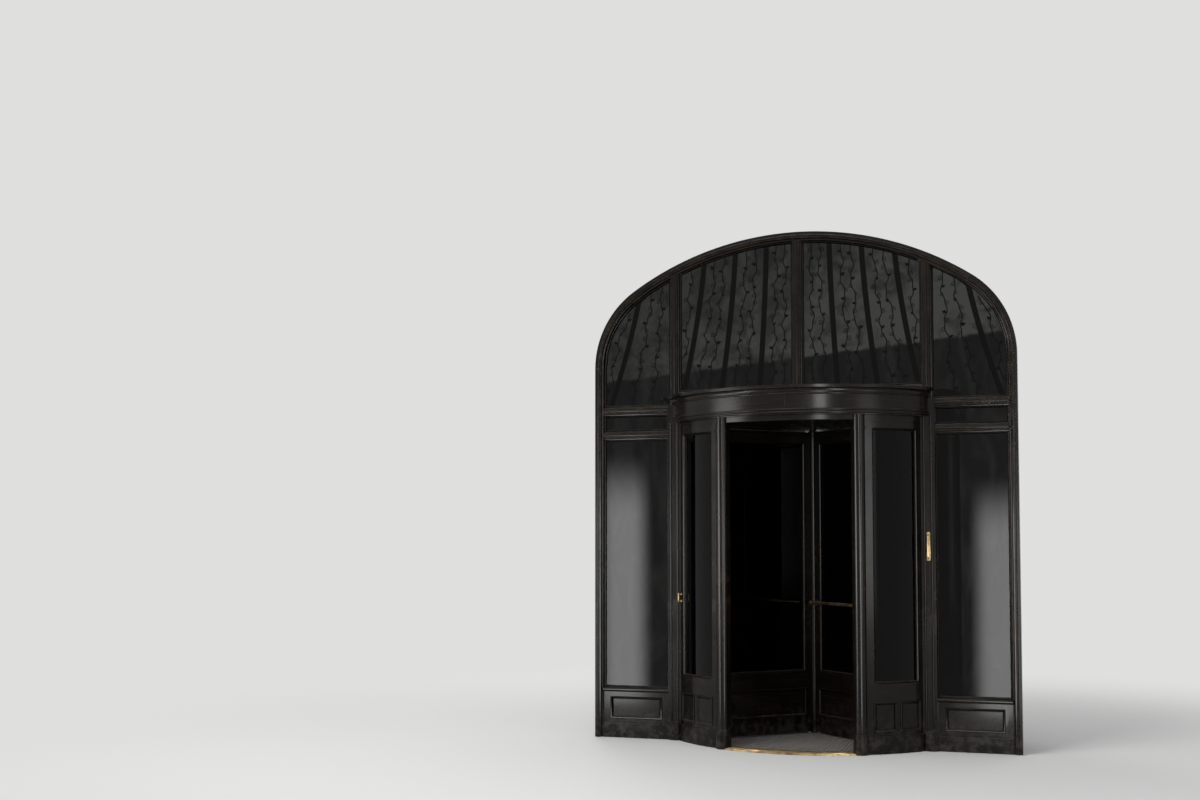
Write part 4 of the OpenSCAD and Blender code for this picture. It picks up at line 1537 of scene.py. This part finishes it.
@dataclass
class Drum(Assembly):
    """The drum: posts, curved walls, head ring, cornice, ceiling and roof."""

    rail_split: float = 1.0
    board_pitch: float = 0.142
    board_gap: float = 0.003
    board_ease: float = 0.002

    def build(self) -> None:
        """Build and dress the whole drum."""
        self.posts()
        self.walls()
        self.head()
        self.boarding()
        self.panes()

    def posts(self) -> None:
        """Ease the four round-nosed posts."""
        number = 30
        for end in ("street", "lobby"):
            for side in Side:
                self.ease(f"drum_post_{end}_{side.value}", lambda p, n=number: Member(Run.UPRIGHT, n))
                number += 1

    def walls(self) -> None:
        """Ease the curved walls, whose rails stand between stiles, and mould them."""
        s = self.sizes
        number = 40
        for end in ("street", "lobby"):
            bays = s.wall_bays(end == "street")
            for side in Side:
                def member(p: Vector, n: int = number) -> Member:
                    """Tell the rails and the plinth from the stiles."""
                    angle = math.atan2(p.y, abs(p.x))
                    for i, (a0, a1) in enumerate(bays):
                        if a0 < angle < a1:
                            return Member(Run.ROUND, n + i * 2 + (p.z > self.rail_split))
                    if p.z < s.plinth_h and math.hypot(p.x, p.y) > s.wall_r + TOUCH:
                        return Member(Run.ROUND, n + 9)
                    return Member(Run.UPRIGHT, n + sum(angle > a0 for a0, _ in bays))

                cuts = [(Vector(), Vector((-math.sin(a), side.sign * math.cos(a), 0)))
                        for bay in bays for a in bay]
                self.ease(f"wall_{end}_{side.value}", member, cuts)
                number += 12
            self._wall_beads(end == "street")

    def _wall_beads(self, street: bool) -> None:
        """Bead the bent panes on both faces, and mould the sunk panels outside.

        Args:
            street: True for the short walls towards the street.
        """
        s = self.sizes
        beads, panels = bmesh.new(), bmesh.new()
        middle = s.drum_r + s.wall_t / 2
        glass_top = s.drum_h - s.head_rail
        for bay in s.wall_bays(street):
            for outside, radius in ((True, middle + s.pane_t / 2), (False, middle - s.pane_t / 2)):
                loop = bent_oblong(*bay, s.drum_glass_z, glass_top, radius, outside)
                for path in (loop, mirrored(loop)):
                    mitred_run(beads, *path, GLAZING_BEAD, 11)
        for panel in s.wall_panels(street):
            loop = bent_oblong(*panel, s.plinth_h + s.panel_rail, s.drum_panel_z, s.wall_r, True)
            for path in (loop, mirrored(loop)):
                mitred_run(panels, *path, PANEL_MOULD, 13)
        end = "street" if street else "lobby"
        self.trim(f"wall_{end}_glazing_beads", beads)
        self.trim(f"wall_{end}_panel_mouldings", panels)

    def head(self) -> None:
        """Ease the head ring and the cornice."""
        for number, node in ((90, "head_ring"), (92, "cornice_street"), (94, "cornice_lobby")):
            self.ease(node, lambda p, n=number: Member(Run.ROUND, n + (p.x > 0)))

    def boarding(self) -> None:
        """Saw the ceiling and the roof into boards."""
        s = self.sizes
        for node, finish in (("drum_ceiling", self.palette.timber), ("drum_roof", self.palette.boards)):
            mesh = boards_of(merged_copy(node), self.board_pitch, self.board_gap, s.wall_r)
            ease_edges(mesh, self.board_ease)
            lay_grain(mesh, self._board_plan(), s, math.pi / 2)
            set_piece(f"{node}_boards", mesh, [finish], Body.SCREEN, [node])

    def _board_plan(self) -> Plan:
        """Number the boards; the grain is laid a quarter turn round, so they run along Y."""
        return lambda p: Member(Run.LEVEL, 100 + math.floor(-p.y / self.board_pitch))

    def panes(self) -> None:
        """Finish the bent panes and the head bearing, which stay as they are constructed."""
        for end in ("street", "lobby"):
            for side in Side:
                dress_node(f"wall_glass_{end}_{side.value}", self.palette.plate)
        dress_node("top_bearing", self.palette.iron)


# --- the wings

@dataclass
class Wings(Assembly):
    """The turning part: shaft, four wings with brush seals, mouldings and push bars."""

    rail_split: float = 1.0
    hair: float = 0.0002
    angles: tuple[float, ...] = (45.0, 135.0, 225.0, 315.0)
    journal_most: float = 0.0285
    journal_ease: float = 0.990

    def build(self) -> None:
        """Build and dress the turning part."""
        for i, degrees in enumerate(self.angles, start=1):
            self.wing(i, math.radians(degrees))
        self.shaft()
        self.mouldings()
        dress_node("push_bars", self.palette.brass)

    def shaft(self) -> None:
        """Ease the shaft, with its journals a little slimmer so that no facet meets a socket's."""
        mesh = merged_copy("shaft")
        for vert in mesh.verts:
            if vert.co.xy.length < self.journal_most:
                vert.co.xy = vert.co.xy * self.journal_ease
        self.ease("shaft", lambda p: Member(Run.UPRIGHT, 160), (), mesh, Body.WINGS)

    def wing(self, number: int, turn: float) -> None:
        """Ease one wing: stiles run through, rails stand between them, seals are hair.

        Args:
            number: The wing's number, from 1.
            turn: The angle at which it stands.
        """
        s, hair = self.sizes, self.hair
        inner, outer = s.wing_light

        def member(p: Vector) -> Member:
            """Tell the seals and the rails from the stiles."""
            if p.x > s.wing_r + hair or p.z < s.wing_z0 - hair or p.z > s.wing_z1 + hair:
                return Member(Run.UPRIGHT, SOFT)
            if inner < p.x < outer:
                return Member(Run.LEVEL, 120 + number * 4 + (p.z > self.rail_split))
            return Member(Run.UPRIGHT, 122 + number * 4 + (p.x > inner))

        along = Vector((math.cos(turn), math.sin(turn), 0))
        cuts = [(along * reach, along) for reach in s.wing_light]
        self.ease(f"wing_{number}", member, cuts, None, Body.WINGS, turn, True)
        dress_node(f"wing_glass_{number}", self.palette.plate)

    def mouldings(self) -> None:
        """Bead every wing's pane and mould its lower panel, on both faces."""
        s = self.sizes
        beads, panels = bmesh.new(), bmesh.new()
        for degrees in self.angles:
            turn = Matrix.Rotation(math.radians(degrees), 3, "Z")
            for out in (STREET, LOBBY):
                pane = oblong(*s.wing_light, s.drum_glass_z, s.wing_z1 - s.wing_stile, out.y * s.pane_t / 2, out)
                lower = oblong(*s.wing_light, s.plinth_h + s.panel_rail, s.drum_panel_z, out.y * s.wing_t / 2, out)
                for mesh, loop, profile in ((beads, pane, GLAZING_BEAD), (panels, lower, PANEL_MOULD)):
                    path, ways = ([turn @ v for v in part] for part in loop)
                    mitred_run(mesh, path, ways, profile, 17)
        self.trim("wing_glazing_beads", beads, Body.WINGS)
        self.trim("wing_panel_mouldings", panels, Body.WINGS)


# --- floor and ironwork

@dataclass
class FloorSet(Assembly):
    """The floor pan, its mat and the two thresholds."""

    rib_pitch: float = 0.030
    rib_gap: float = 0.004
    rib_ease: float = 0.0015
    post_foot: float = 0.008
    flute_count: int = 8
    flute_pitch: float = 0.0075
    flute_r: float = 0.0022
    flute_in: float = 0.022
    flute_end: float = 0.012
    flute_steps: int = 24
    pan_screws: int = 20
    pan_screw_in: float = 0.033
    threshold_screw_in: float = 0.0105
    threshold_shares: tuple[float, ...] = (-0.92, -0.46, 0, 0.46, 0.92)

    def build(self) -> None:
        """Build and dress the floor."""
        mesh = boards_of(merged_copy("floor_mat"), self.rib_pitch, self.rib_gap, self.sizes.drum_r)
        ease_edges(mesh, self.rib_ease)
        set_piece("floor_mat_ribs", mesh, [self.palette.mat], Body.SCREEN, ["floor_mat"])
        dress_node("floor_pan", self.palette.brass)
        for end in ("street", "lobby"):
            dress_node(f"threshold_{end}", self.palette.brass)
        self.flutes()
        self.screws()

    def _threshold_reach(self) -> float:
        """Half the angle that a threshold covers."""
        s = self.sizes
        return s.post_angle - math.asin((s.drum_post_w / 2 + self.post_foot + s.seat) / s.post_nose_x)

    def flutes(self) -> None:
        """Lay the round ridges that keep a shoe from slipping on the thresholds."""
        s = self.sizes
        reach, steps = self._threshold_reach() - s.to_angle(self.flute_end), self.flute_steps
        lines = []
        for middle in (-math.pi / 2, math.pi / 2):
            for i in range(self.flute_count):
                radius = s.drum_r + self.flute_in + i * self.flute_pitch
                lines.append([around(middle + reach * k / steps, radius, s.floor_t)
                              for k in range(-steps, steps + 1)])
        mesh = made_by(self.palette.makers.ridge, lines_mesh(lines),
                       {"Radius": self.flute_r, "Finish": self.palette.brass})
        self.metal("threshold_flutes", mesh)

    def screws(self) -> None:
        """Screw down the thresholds and the pan's margin."""
        s = self.sizes
        reach = self._threshold_reach()
        count = self.pan_screws
        spots = [around(2 * math.pi * (i + 0.5) / count, s.drum_r - self.pan_screw_in, s.floor_t)
                 for i in range(count)]
        for middle in (-math.pi / 2, math.pi / 2):
            spots += [around(middle + reach * share, s.drum_r + self.threshold_screw_in, s.floor_t)
                      for share in self.threshold_shares]
        set_screws("floor_screws", spots, [Vector((0, 0, 1))] * len(spots), self.palette, Body.SCREEN)


def screw_head(radius: float, height: float, steps: int = 8) -> BMesh:
    """Make a slotted screw head: a low base and two lands with the slot between them.

    Args:
        radius: Radius of the head.
        height: How far it stands out.
        steps: Straight lengths round a land.

    Returns:
        The head, on the origin and facing up.
    """
    sink, base, shoulder = -0.0004, height * 0.3, height * 0.62
    slot, land = radius * 0.13, 0.72
    mesh = bmesh.new()
    lathe(mesh, Matrix.Identity(4), ((radius, sink), (radius, base)), 2 * steps)
    start = math.asin(slot / radius)
    arc = [start + (math.pi - 2 * start) * k / steps for k in range(steps + 1)]
    for side in (-1.0, 1.0):
        rim = [Vector((radius * math.cos(a), side * radius * math.sin(a), 0)) for a in arc]
        inner = [v * land for v in rim]
        for v in inner:
            v.y = side * max(slot, abs(v.y))
        low, mid, top = ([mesh.verts.new((v.x, v.y, z)) for v in ring]
                         for ring, z in ((rim, base), (rim, shoulder), (inner, height)))
        made = [mesh.faces.new(top), mesh.faces.new(low), *band(mesh, low, mid), *band(mesh, mid, top)]
        bmesh.ops.recalc_face_normals(mesh, faces=made)
    return mesh


def set_screws(name: str, spots: Sequence[Vector], ways: Sequence[Vector], palette: Palette, body: Body,
               radius: float = 0.0046) -> None:
    """Set a row of screws.

    Args:
        name: The piece's name.
        spots: Where each head sits.
        ways: The way that each faces.
        palette: The finishes.
        body: The body that they move with.
        radius: Radius of a head.
    """
    carrier = lines_mesh([[spot] for spot in spots])
    out = carrier.attributes.new("out", "FLOAT_VECTOR", "POINT")
    out.data.foreach_set("vector", [c for way in ways for c in way])
    head = pattern_of("screw_pattern", screw_head(radius, 0.0013))
    mesh = made_by(palette.makers.screws, carrier, {"Head": head, "Seed": 5, "Finish": palette.brass}, [head])
    set_piece(name, mesh, [palette.brass], body)


@dataclass
class FanlightIron(Assembly):
    """The iron behind the fanlight: ribs with broader flats, and the vines between them."""

    stem_r: float = 0.0046
    wave: float = 0.015
    wave_length: float = 0.27
    leaf: float = 0.038
    leaf_t: float = 0.0018
    leaf_fold: float = 0.4
    leaf_spacing: float = 0.066
    least_room: float = 0.075
    pair_room: float = 0.16
    line_step: float = 0.02
    line_end: float = 0.03
    line_lap: float = 0.004
    line_bend: float = 0.05
    ribs: tuple[int, ...] = (1, 2, 3, 5)
    flat_over: float = 0.0085
    flat_t: float = 0.004
    flat_in: float = 0.0004
    flat_clear: float = 0.0015
    flat_ease: float = 0.0009
    flat_steps: int = 14

    def build(self) -> None:
        """Dress the ribs, lay their flats and grow the vines."""
        dress_node("fanlight_ribs", self.palette.iron)
        self.flats()
        lines = [line for side in Side for line in self._vine_lines(side)]
        leaf = pattern_of("leaf_pattern", self._leaf())
        mesh = made_by(self.palette.makers.vine, lines_mesh(lines), {
            "Stem Radius": self.stem_r, "Wave": self.wave, "Wave Length": self.wave_length,
            "Leaf Spacing": self.leaf_spacing, "Leaf": leaf, "Seed": 11, "Finish": self.palette.iron}, [leaf])
        self.metal("fanlight_vines", mesh, Slot.IRON)

    def _flat_spot(self, number: int, edge: int, share: float) -> tuple[float, float]:
        """Find a point on the edge of a flat on the right.

        Args:
            number: The rib's number from the middle.
            edge: -1 for the edge towards the middle, 1 for the other.
            share: How far up the flat, from 0 to 1.

        Returns:
            Its distance from the middle and its height.
        """
        s = self.sizes
        rib_x, tries = number * s.rib_pitch, 24

        def across(z: float) -> float:
            """Give the edge's distance from the middle at a height."""
            most = s.post_x - s.mullion_w / 2 if rib_x < s.post_x else s.jamb_edge(z)
            return min(s.rib_edge(number, z, edge) + edge * self.flat_over, most - self.flat_clear)

        foot = s.fanlight_foot(rib_x) + s.seat
        top = s.crown_z
        for _ in range(tries):
            top = s.arch_z(across(top), s.frame_w) - s.seat
        z = foot + (top - foot) * share
        return across(z), z

    def flats(self) -> None:
        """Lay a broader flat bar on the street side of every rib."""
        face = self.sizes.rib_y - self.sizes.rib_d / 2
        mesh = bmesh.new()
        for sign in (-1, 1):
            for number in self.ribs:
                rings = []
                for step in range(self.flat_steps + 1):
                    left, right = (self._flat_spot(number, edge, step / self.flat_steps) for edge in (-1, 1))
                    corners = ((left, -self.flat_t), (right, -self.flat_t), (right, self.flat_in), (left, self.flat_in))
                    rings.append([mesh.verts.new((sign * x, face + y, z)) for (x, z), y in corners])
                for low, high in zip(rings, rings[1:]):
                    band(mesh, low, high)
                mesh.faces.new(rings[0])
                mesh.faces.new(rings[-1])
        bmesh.ops.recalc_face_normals(mesh, faces=mesh.faces)
        ease_edges(mesh, self.flat_ease)
        self.metal("fanlight_rib_flats", mesh, Slot.IRON)

    def _vine_lines(self, side: Side) -> list[list[Vector]]:
        """Lay out the vines' middle lines on one side, a pair in each wide gap and one in a narrow gap.

        Args:
            side: The side.

        Returns:
            The points of each line.
        """
        s = self.sizes
        half = s.mullion_w / 2
        single, pair = (0.5,), (0.33, 0.67)
        gaps: list[tuple[tuple[float, ...], Edge, Edge]] = [
            (pair, lambda z: half, lambda z: s.rib_edge(1, z, -1)),
            (pair, lambda z: s.rib_edge(1, z, 1), lambda z: s.rib_edge(2, z, -1)),
            (pair, lambda z: s.rib_edge(2, z, 1), lambda z: s.rib_edge(3, z, -1)),
            (single, lambda z: s.rib_edge(3, z, 1), lambda z: s.post_x - half),
            (pair, lambda z: s.post_x + half, lambda z: s.rib_edge(5, z, -1)),
            (single, lambda z: s.rib_edge(5, z, 1), s.jamb_edge),
        ]
        return [self._vine_line(side, share, self.least_room if shares is single else self.pair_room, inner, outer)
                for shares, inner, outer in gaps for share in shares]

    def _vine_line(self, side: Side, share: float, least: float, inner: Edge, outer: Edge) -> list[Vector]:
        """Lay out one vine's middle line from the foot of its gap upwards.

        Args:
            side: The side.
            share: How far across the gap it climbs.
            least: The least width of gap that has room for it.
            inner: Gives the gap's edge towards the middle at a height.
            outer: Gives its other edge.

        Returns:
            The line's points.
        """
        s = self.sizes
        z = s.fanlight_foot(inner(s.springing_z))
        line: list[Vector] = []
        while True:
            room = outer(z) - inner(z)
            x = inner(z) + room * share
            if line and (z > s.arch_z(x, s.frame_w) + self.line_lap or room < self.line_end):
                return line
            if room > least:
                if not line and z > s.fanlight_foot(x) + self.line_end:
                    line.append(Vector((side.sign * (outer(z) + self.line_lap), s.rib_y, z - self.line_bend)))
                line.append(Vector((side.sign * x, s.rib_y, z)))
            z += self.line_step

    def _leaf(self) -> BMesh:
        """Beat a lobed leaf out of thin plate, folded along its middle.

        Returns:
            The leaf, with its foot on the origin.
        """
        outline = ((0.0, 0.0), (0.05, 0.12), (0.30, 0.16), (0.24, 0.32), (0.44, 0.46), (0.27, 0.58), (0.17, 0.80),
                   (0.0, 1.0))
        mesh = bmesh.new()
        sheets = []
        for depth in (-self.leaf_t / 2, self.leaf_t / 2):
            rows = []
            for x, z in outline:
                spots = (-x, 0.0, x) if x else (0.0,)
                rows.append([mesh.verts.new((u * self.leaf, depth - abs(u) * self.leaf * self.leaf_fold, z * self.leaf))
                             for u in spots])
            sheets.append(rows)
        made = []
        for rows in sheets:
            for low, high in zip(rows, rows[1:]):
                for k in (0, 1):
                    corners = ((low, k), (low, k + 1), (high, k + 1), (high, k))
                    spots = [row[n] if len(row) > 1 else row[0] for row, n in corners]
                    made.append(mesh.faces.new(list(dict.fromkeys(spots))))
        front, back = sheets
        for k in (0, -1):
            for i in range(len(outline) - 1):
                quad = (front[i][k], front[i + 1][k], back[i + 1][k], back[i][k])
                made.append(mesh.faces.new(quad))
        bmesh.ops.recalc_face_normals(mesh, faces=made)
        return mesh


def grip_profile(half: float, radius: float, end: Profile, belly: float) -> Profile:
    """Draw a grip that is the same at both ends.

    Args:
        half: Half the distance between its posts.
        radius: The grip's radius.
        end: Its lower end: radii as shares of the radius, and heights from the post.
        belly: The middle's radius as a share.

    Returns:
        Radius and height of each ring.
    """
    low = [(radius * share, height - half) for share, height in end]
    return [*low, (radius * belly, 0.0), *((r, -height) for r, height in reversed(low))]


@dataclass
class Fittings(Assembly):
    """Brass fittings of the street side: the upright pull and the small handle."""

    pull_z: float = 1.545
    pull_h: float = 0.176
    pull_r: float = 0.0095
    pull_stand: float = 0.036
    pull_end: Profile = ((0.0, -0.010), (0.8, -0.008), (1.25, 0.0), (0.8, 0.008), (1.0, 0.016))
    pull_belly: float = 1.18
    plate_w: float = 0.028
    plate_over: float = 0.022
    plate_t: float = 0.003
    plate_bevel: float = 0.0016
    plate_sink: float = 0.0005
    plate_steps: int = 10
    screw_over: float = 0.015
    screw_r: float = 0.0034
    handle_z: float = 1.135
    handle_h: float = 0.054
    handle_r: float = 0.0062
    handle_stand: float = 0.026
    handle_end: Profile = ((0.0, -0.013), (0.95, -0.009), (1.5, 0.0), (0.95, 0.008))
    handle_belly: float = 1.2
    handle_place: float = 0.72

    def build(self) -> None:
        """Fit the pull and the handle."""
        self.pull()
        self.handle()

    def pull(self) -> None:
        """Fit the upright pull between the beads of the right main post."""
        s = self.sizes
        face, half = -s.screen_y - s.post_d / 2, self.pull_h / 2
        mesh = bmesh.new()
        self._plate(mesh, Vector((s.post_x, face, self.pull_z)))
        bar = Matrix.Translation((s.post_x, face - self.pull_stand, self.pull_z))
        lathe(mesh, bar, grip_profile(half, self.pull_r, self.pull_end, self.pull_belly))
        stem = ((0.0125, 0.001), (0.0125, 0.0045), (0.0075, 0.0075), (0.006, 0.020), (0.007, self.pull_stand))
        for z in (-half, half):
            post = Matrix.Translation((s.post_x, face, self.pull_z + z)) @ Matrix.Rotation(math.pi / 2, 4, "X")
            lathe(mesh, post, stem, 20)
        self.metal("upright_pull", mesh)
        reach = half + self.screw_over
        spots = [Vector((s.post_x, face - self.plate_t, self.pull_z + z)) for z in (-reach, reach)]
        set_screws("upright_pull_screws", spots, [STREET] * 2, self.palette, Body.SCREEN, self.screw_r)

    def handle(self) -> None:
        """Fit the small upright handle on the left street wall, on the stile by the main post."""
        s = self.sizes
        angle = math.pi + s.main_angle + s.to_angle(s.post_w / 2 + s.drum_stile * self.handle_place)
        outward = around(angle, 1.0, 0.0).to_track_quat("Z", "Y").to_matrix().to_4x4()
        half = self.handle_h / 2
        mesh = bmesh.new()
        bar = Matrix.Translation(around(angle, s.wall_r + self.handle_stand, self.handle_z))
        lathe(mesh, bar, grip_profile(half, self.handle_r, self.handle_end, self.handle_belly), 20)
        stem = ((0.0115, -0.001), (0.0115, 0.003), (0.006, 0.006), (0.005, self.handle_stand))
        for z in (-half, half):
            post = Matrix.Translation(around(angle, s.wall_r, self.handle_z + z)) @ outward
            lathe(mesh, post, stem, 18)
        self.metal("small_handle", mesh)

    def _plate(self, mesh: BMesh, middle: Vector) -> None:
        """Add the pull's plate, with round ends and a bevelled rim.

        Args:
            mesh: The mesh that takes it.
            middle: The middle of its back.
        """
        half_w, thick, steps = self.plate_w / 2, self.plate_t, self.plate_steps
        straight = self.pull_h / 2 + self.plate_over - half_w
        rings = []
        for inset, out in ((0.0, -self.plate_sink), (0.0, thick * 0.6), (self.plate_bevel, thick)):
            r = half_w - inset
            ring = []
            for centre, start in ((straight, 0.0), (-straight, math.pi)):
                ring += [mesh.verts.new((middle.x + r * math.cos(start + math.pi * k / steps), middle.y - out,
                                         middle.z + centre + r * math.sin(start + math.pi * k / steps)))
                         for k in range(steps + 1)]
            rings.append(ring)
        made = [mesh.faces.new(rings[0]), mesh.faces.new(rings[-1])]
        for low, high in zip(rings, rings[1:]):
            made += band(mesh, low, high)
        bmesh.ops.recalc_face_normals(mesh, faces=made)


# --- the studio

@dataclass(frozen=True)
class Panel:
    """A soft lamp, with its power in watts, or an upright card that only gloss and glass mirror."""

    name: str
    middle: Triple
    width: float
    height: float
    strength: float


LAMPS = (
    Panel("street_lamp", (3.7, -14.6, 3.4), 2.4, 4.6, 300.0),
    Panel("left_lamp", (-7.6, -7.4, 2.5), 1.8, 4.6, 230.0),
    Panel("upper_lamp", (-2.5, -6.5, 8.0), 3.6, 3.6, 380.0),
    Panel("lobby_lamp", (-5.5, 7.5, 5.5), 3.0, 5.0, 330.0),
    Panel("lobby_strip", (5.0, 9.0, 2.6), 1.2, 4.8, 120.0),
)
CARDS = (
    Panel("street_card", (3.9, -14.6, 2.9), 3.2, 5.6, 13.0),
    Panel("left_card", (-9.6, -7.0, 2.1), 6.6, 4.0, 12.0),
    Panel("right_card", (9.5, -8.5, 2.0), 4.6, 3.8, 6.0),
    Panel("upper_card", (-1.5, -8.0, 9.2), 8.0, 3.4, 10.0),
    Panel("left_bay_card", (-2.16, -3.0, 0.98), 0.64, 3.0, 17.0),
    Panel("right_bay_card", (1.40, -3.0, 0.88), 0.60, 2.64, 16.0),
    Panel("lobby_card", (-7.5, 7.0, 3.2), 5.0, 6.2, 5.0),
    Panel("lobby_strip_card", (6.4, 8.4, 2.9), 3.2, 5.6, 5.0),
)


@dataclass
class Studio:
    """Camera, floor, lamps and pale surroundings."""

    backdrop: Colour = (0.74, 0.74, 0.73)
    room: Colour = (0.60, 0.60, 0.61)
    floor_colour: Colour = (0.64, 0.64, 0.63)
    floor_half: float = 45.0
    floor_z: float = -0.0015
    floor_fade: tuple[float, float] = (2.6, 7.0)
    full_u: float = 0.25
    full_v: float = 0.55
    aim: Triple = (0.0, -0.6, 1.9)
    sensor: float = 36.0
    far: float = 200.0
    lens: float = 43.44
    shift_y: float = 0.055
    stand: Triple = (2.034, -11.99, 1.59)
    yaw: float = 18.0
    tilt: float = 2.95

    def build(self) -> None:
        """Set the scene up."""
        self.camera()
        self.surroundings()
        self.floor()
        self.lamps()
        self.cards()
        bpy.context.scene.view_settings.view_transform = "Standard"

    def camera(self) -> None:
        """Stand the camera where the photograph was taken from."""
        data = bpy.data.cameras.new("street_camera")
        data.lens, data.sensor_width, data.sensor_fit = self.lens, self.sensor, "HORIZONTAL"
        data.shift_y = self.shift_y
        data.clip_end = self.far
        camera = in_scene("street_camera", data)
        camera.location = self.stand
        camera.rotation_euler = (math.radians(90.0 + self.tilt), 0.0, math.radians(self.yaw))
        bpy.context.scene.camera = camera

    def surroundings(self) -> None:
        """Show a pale backdrop to the eye, to metal and through glass, and light with a plainer sky."""
        world = bpy.data.worlds.new("studio")
        world.use_nodes = True
        bpy.context.scene.world = world
        sheet = Sheet(world.node_tree)
        path = sheet.add("ShaderNodeLightPath")
        seen = sheet.math("MAXIMUM", sheet.math("MAXIMUM", path.outputs["Is Camera Ray"],
                                                path.outputs["Is Glossy Ray"]),
                          path.outputs["Is Transmission Ray"])
        sheet.fill(world.node_tree.nodes["Background"], Color=sheet.mix(seen, rgba(self.room), rgba(self.backdrop)))

    def floor(self) -> None:
        """Lay the plain pale floor."""
        mesh = bmesh.new()
        bmesh.ops.create_grid(mesh, x_segments=1, y_segments=1, size=self.floor_half)
        for vert in mesh.verts:
            vert.co.z = self.floor_z
        data = settled("studio_floor", mesh)
        material, sheet = new_material("pale_floor")
        shader = sheet.fill(material.node_tree.nodes["Principled BSDF"], Roughness=1.0, Specular_IOR_Level=0.0,
                            Base_Color=rgba(self.floor_colour))
        glow = sheet.fed("ShaderNodeEmission", Color=rgba(self.backdrop))
        fade = sheet.ramp(sheet.from_axis(sheet.place()), *self.floor_fade)
        both = sheet.fill(sheet.add("ShaderNodeMixShader"), fade, shader.outputs[0], glow.outputs[0])
        sheet.fill(material.node_tree.nodes["Material Output"], both.outputs[0])
        data.materials.append(material)
        floor = in_scene("studio_floor", data)

    def lamps(self) -> None:
        """Stand tall soft lamps round the door. Gloss sees the soft-edged cards in their place."""
        for plan in LAMPS:
            data = bpy.data.lights.new(plan.name, "AREA")
            data.shape, data.size, data.size_y, data.energy = "RECTANGLE", plan.width, plan.height, plan.strength
            lamp = in_scene(plan.name, data)
            lamp.location = plan.middle
            lamp.visible_camera = lamp.visible_glossy = lamp.visible_transmission = False
            lamp.rotation_euler = (Vector(self.aim) - Vector(plan.middle)).to_track_quat("-Z", "Y").to_euler()

    def cards(self) -> None:
        """Stand the cards upright, facing the door."""
        ends = ((-1, -1), (1, -1), (1, 1), (-1, 1))
        for plan in CARDS:
            centre = Vector(plan.middle)
            across = Vector((-centre.y, centre.x, 0.0)).normalized() * plan.width / 2
            upward = Vector((0.0, 0.0, plan.height / 2))
            data = bpy.data.meshes.new(plan.name)
            data.from_pydata([tuple(centre + across * u + upward * v) for u, v in ends], [], [(0, 1, 2, 3)])
            spread = data.attributes.new("spread", "FLOAT_VECTOR", "POINT")
            for item, (u, v) in zip(spread.data, ends):
                item.vector = (u, v, 0.0)
            data.materials.append(self._glow(plan.name, plan.strength))
            card = in_scene(plan.name, data)
            card.visible_camera = card.visible_diffuse = card.visible_transmission = card.visible_shadow = False

    def _glow(self, name: str, bright: float) -> Material:
        """Build a glow that fades to a card's edges and lets everything past it through.

        Args:
            name: The material's name.
            bright: Its strength in the middle.

        Returns:
            The material.
        """
        material, sheet = new_material(name)
        u, v, _ = sheet.parts(sheet.add("ShaderNodeAttribute", attribute_name="spread").outputs["Vector"])
        fade = sheet.times(sheet.ramp(sheet.math("ABSOLUTE", u), self.full_u, 1.0, 1.0, 0.0),
                           sheet.ramp(sheet.math("ABSOLUTE", v), self.full_v, 1.0, 1.0, 0.0))
        glow, clear = sheet.fed("ShaderNodeEmission", Strength=bright), sheet.add("ShaderNodeBsdfTransparent")
        both = sheet.fill(sheet.add("ShaderNodeMixShader"), fade, clear.outputs[0], glow.outputs[0])
        sheet.fill(material.node_tree.nodes["Material Output"], both.outputs[0])
        return material


def main() -> None:
    """Build the studio and every sub-assembly."""
    logging.basicConfig(level=logging.INFO, format="%(levelname)s %(message)s", stream=sys.stdout)
    sizes, palette = DoorSizes(), Palette()
    Studio().build()
    for assembly in (ArchedScreen, Drum, Wings, FloorSet, FanlightIron, Fittings):
        LOG.info("%s", assembly.__name__)
        assembly(sizes, palette).build()


if __name__ == "__main__":
    main()
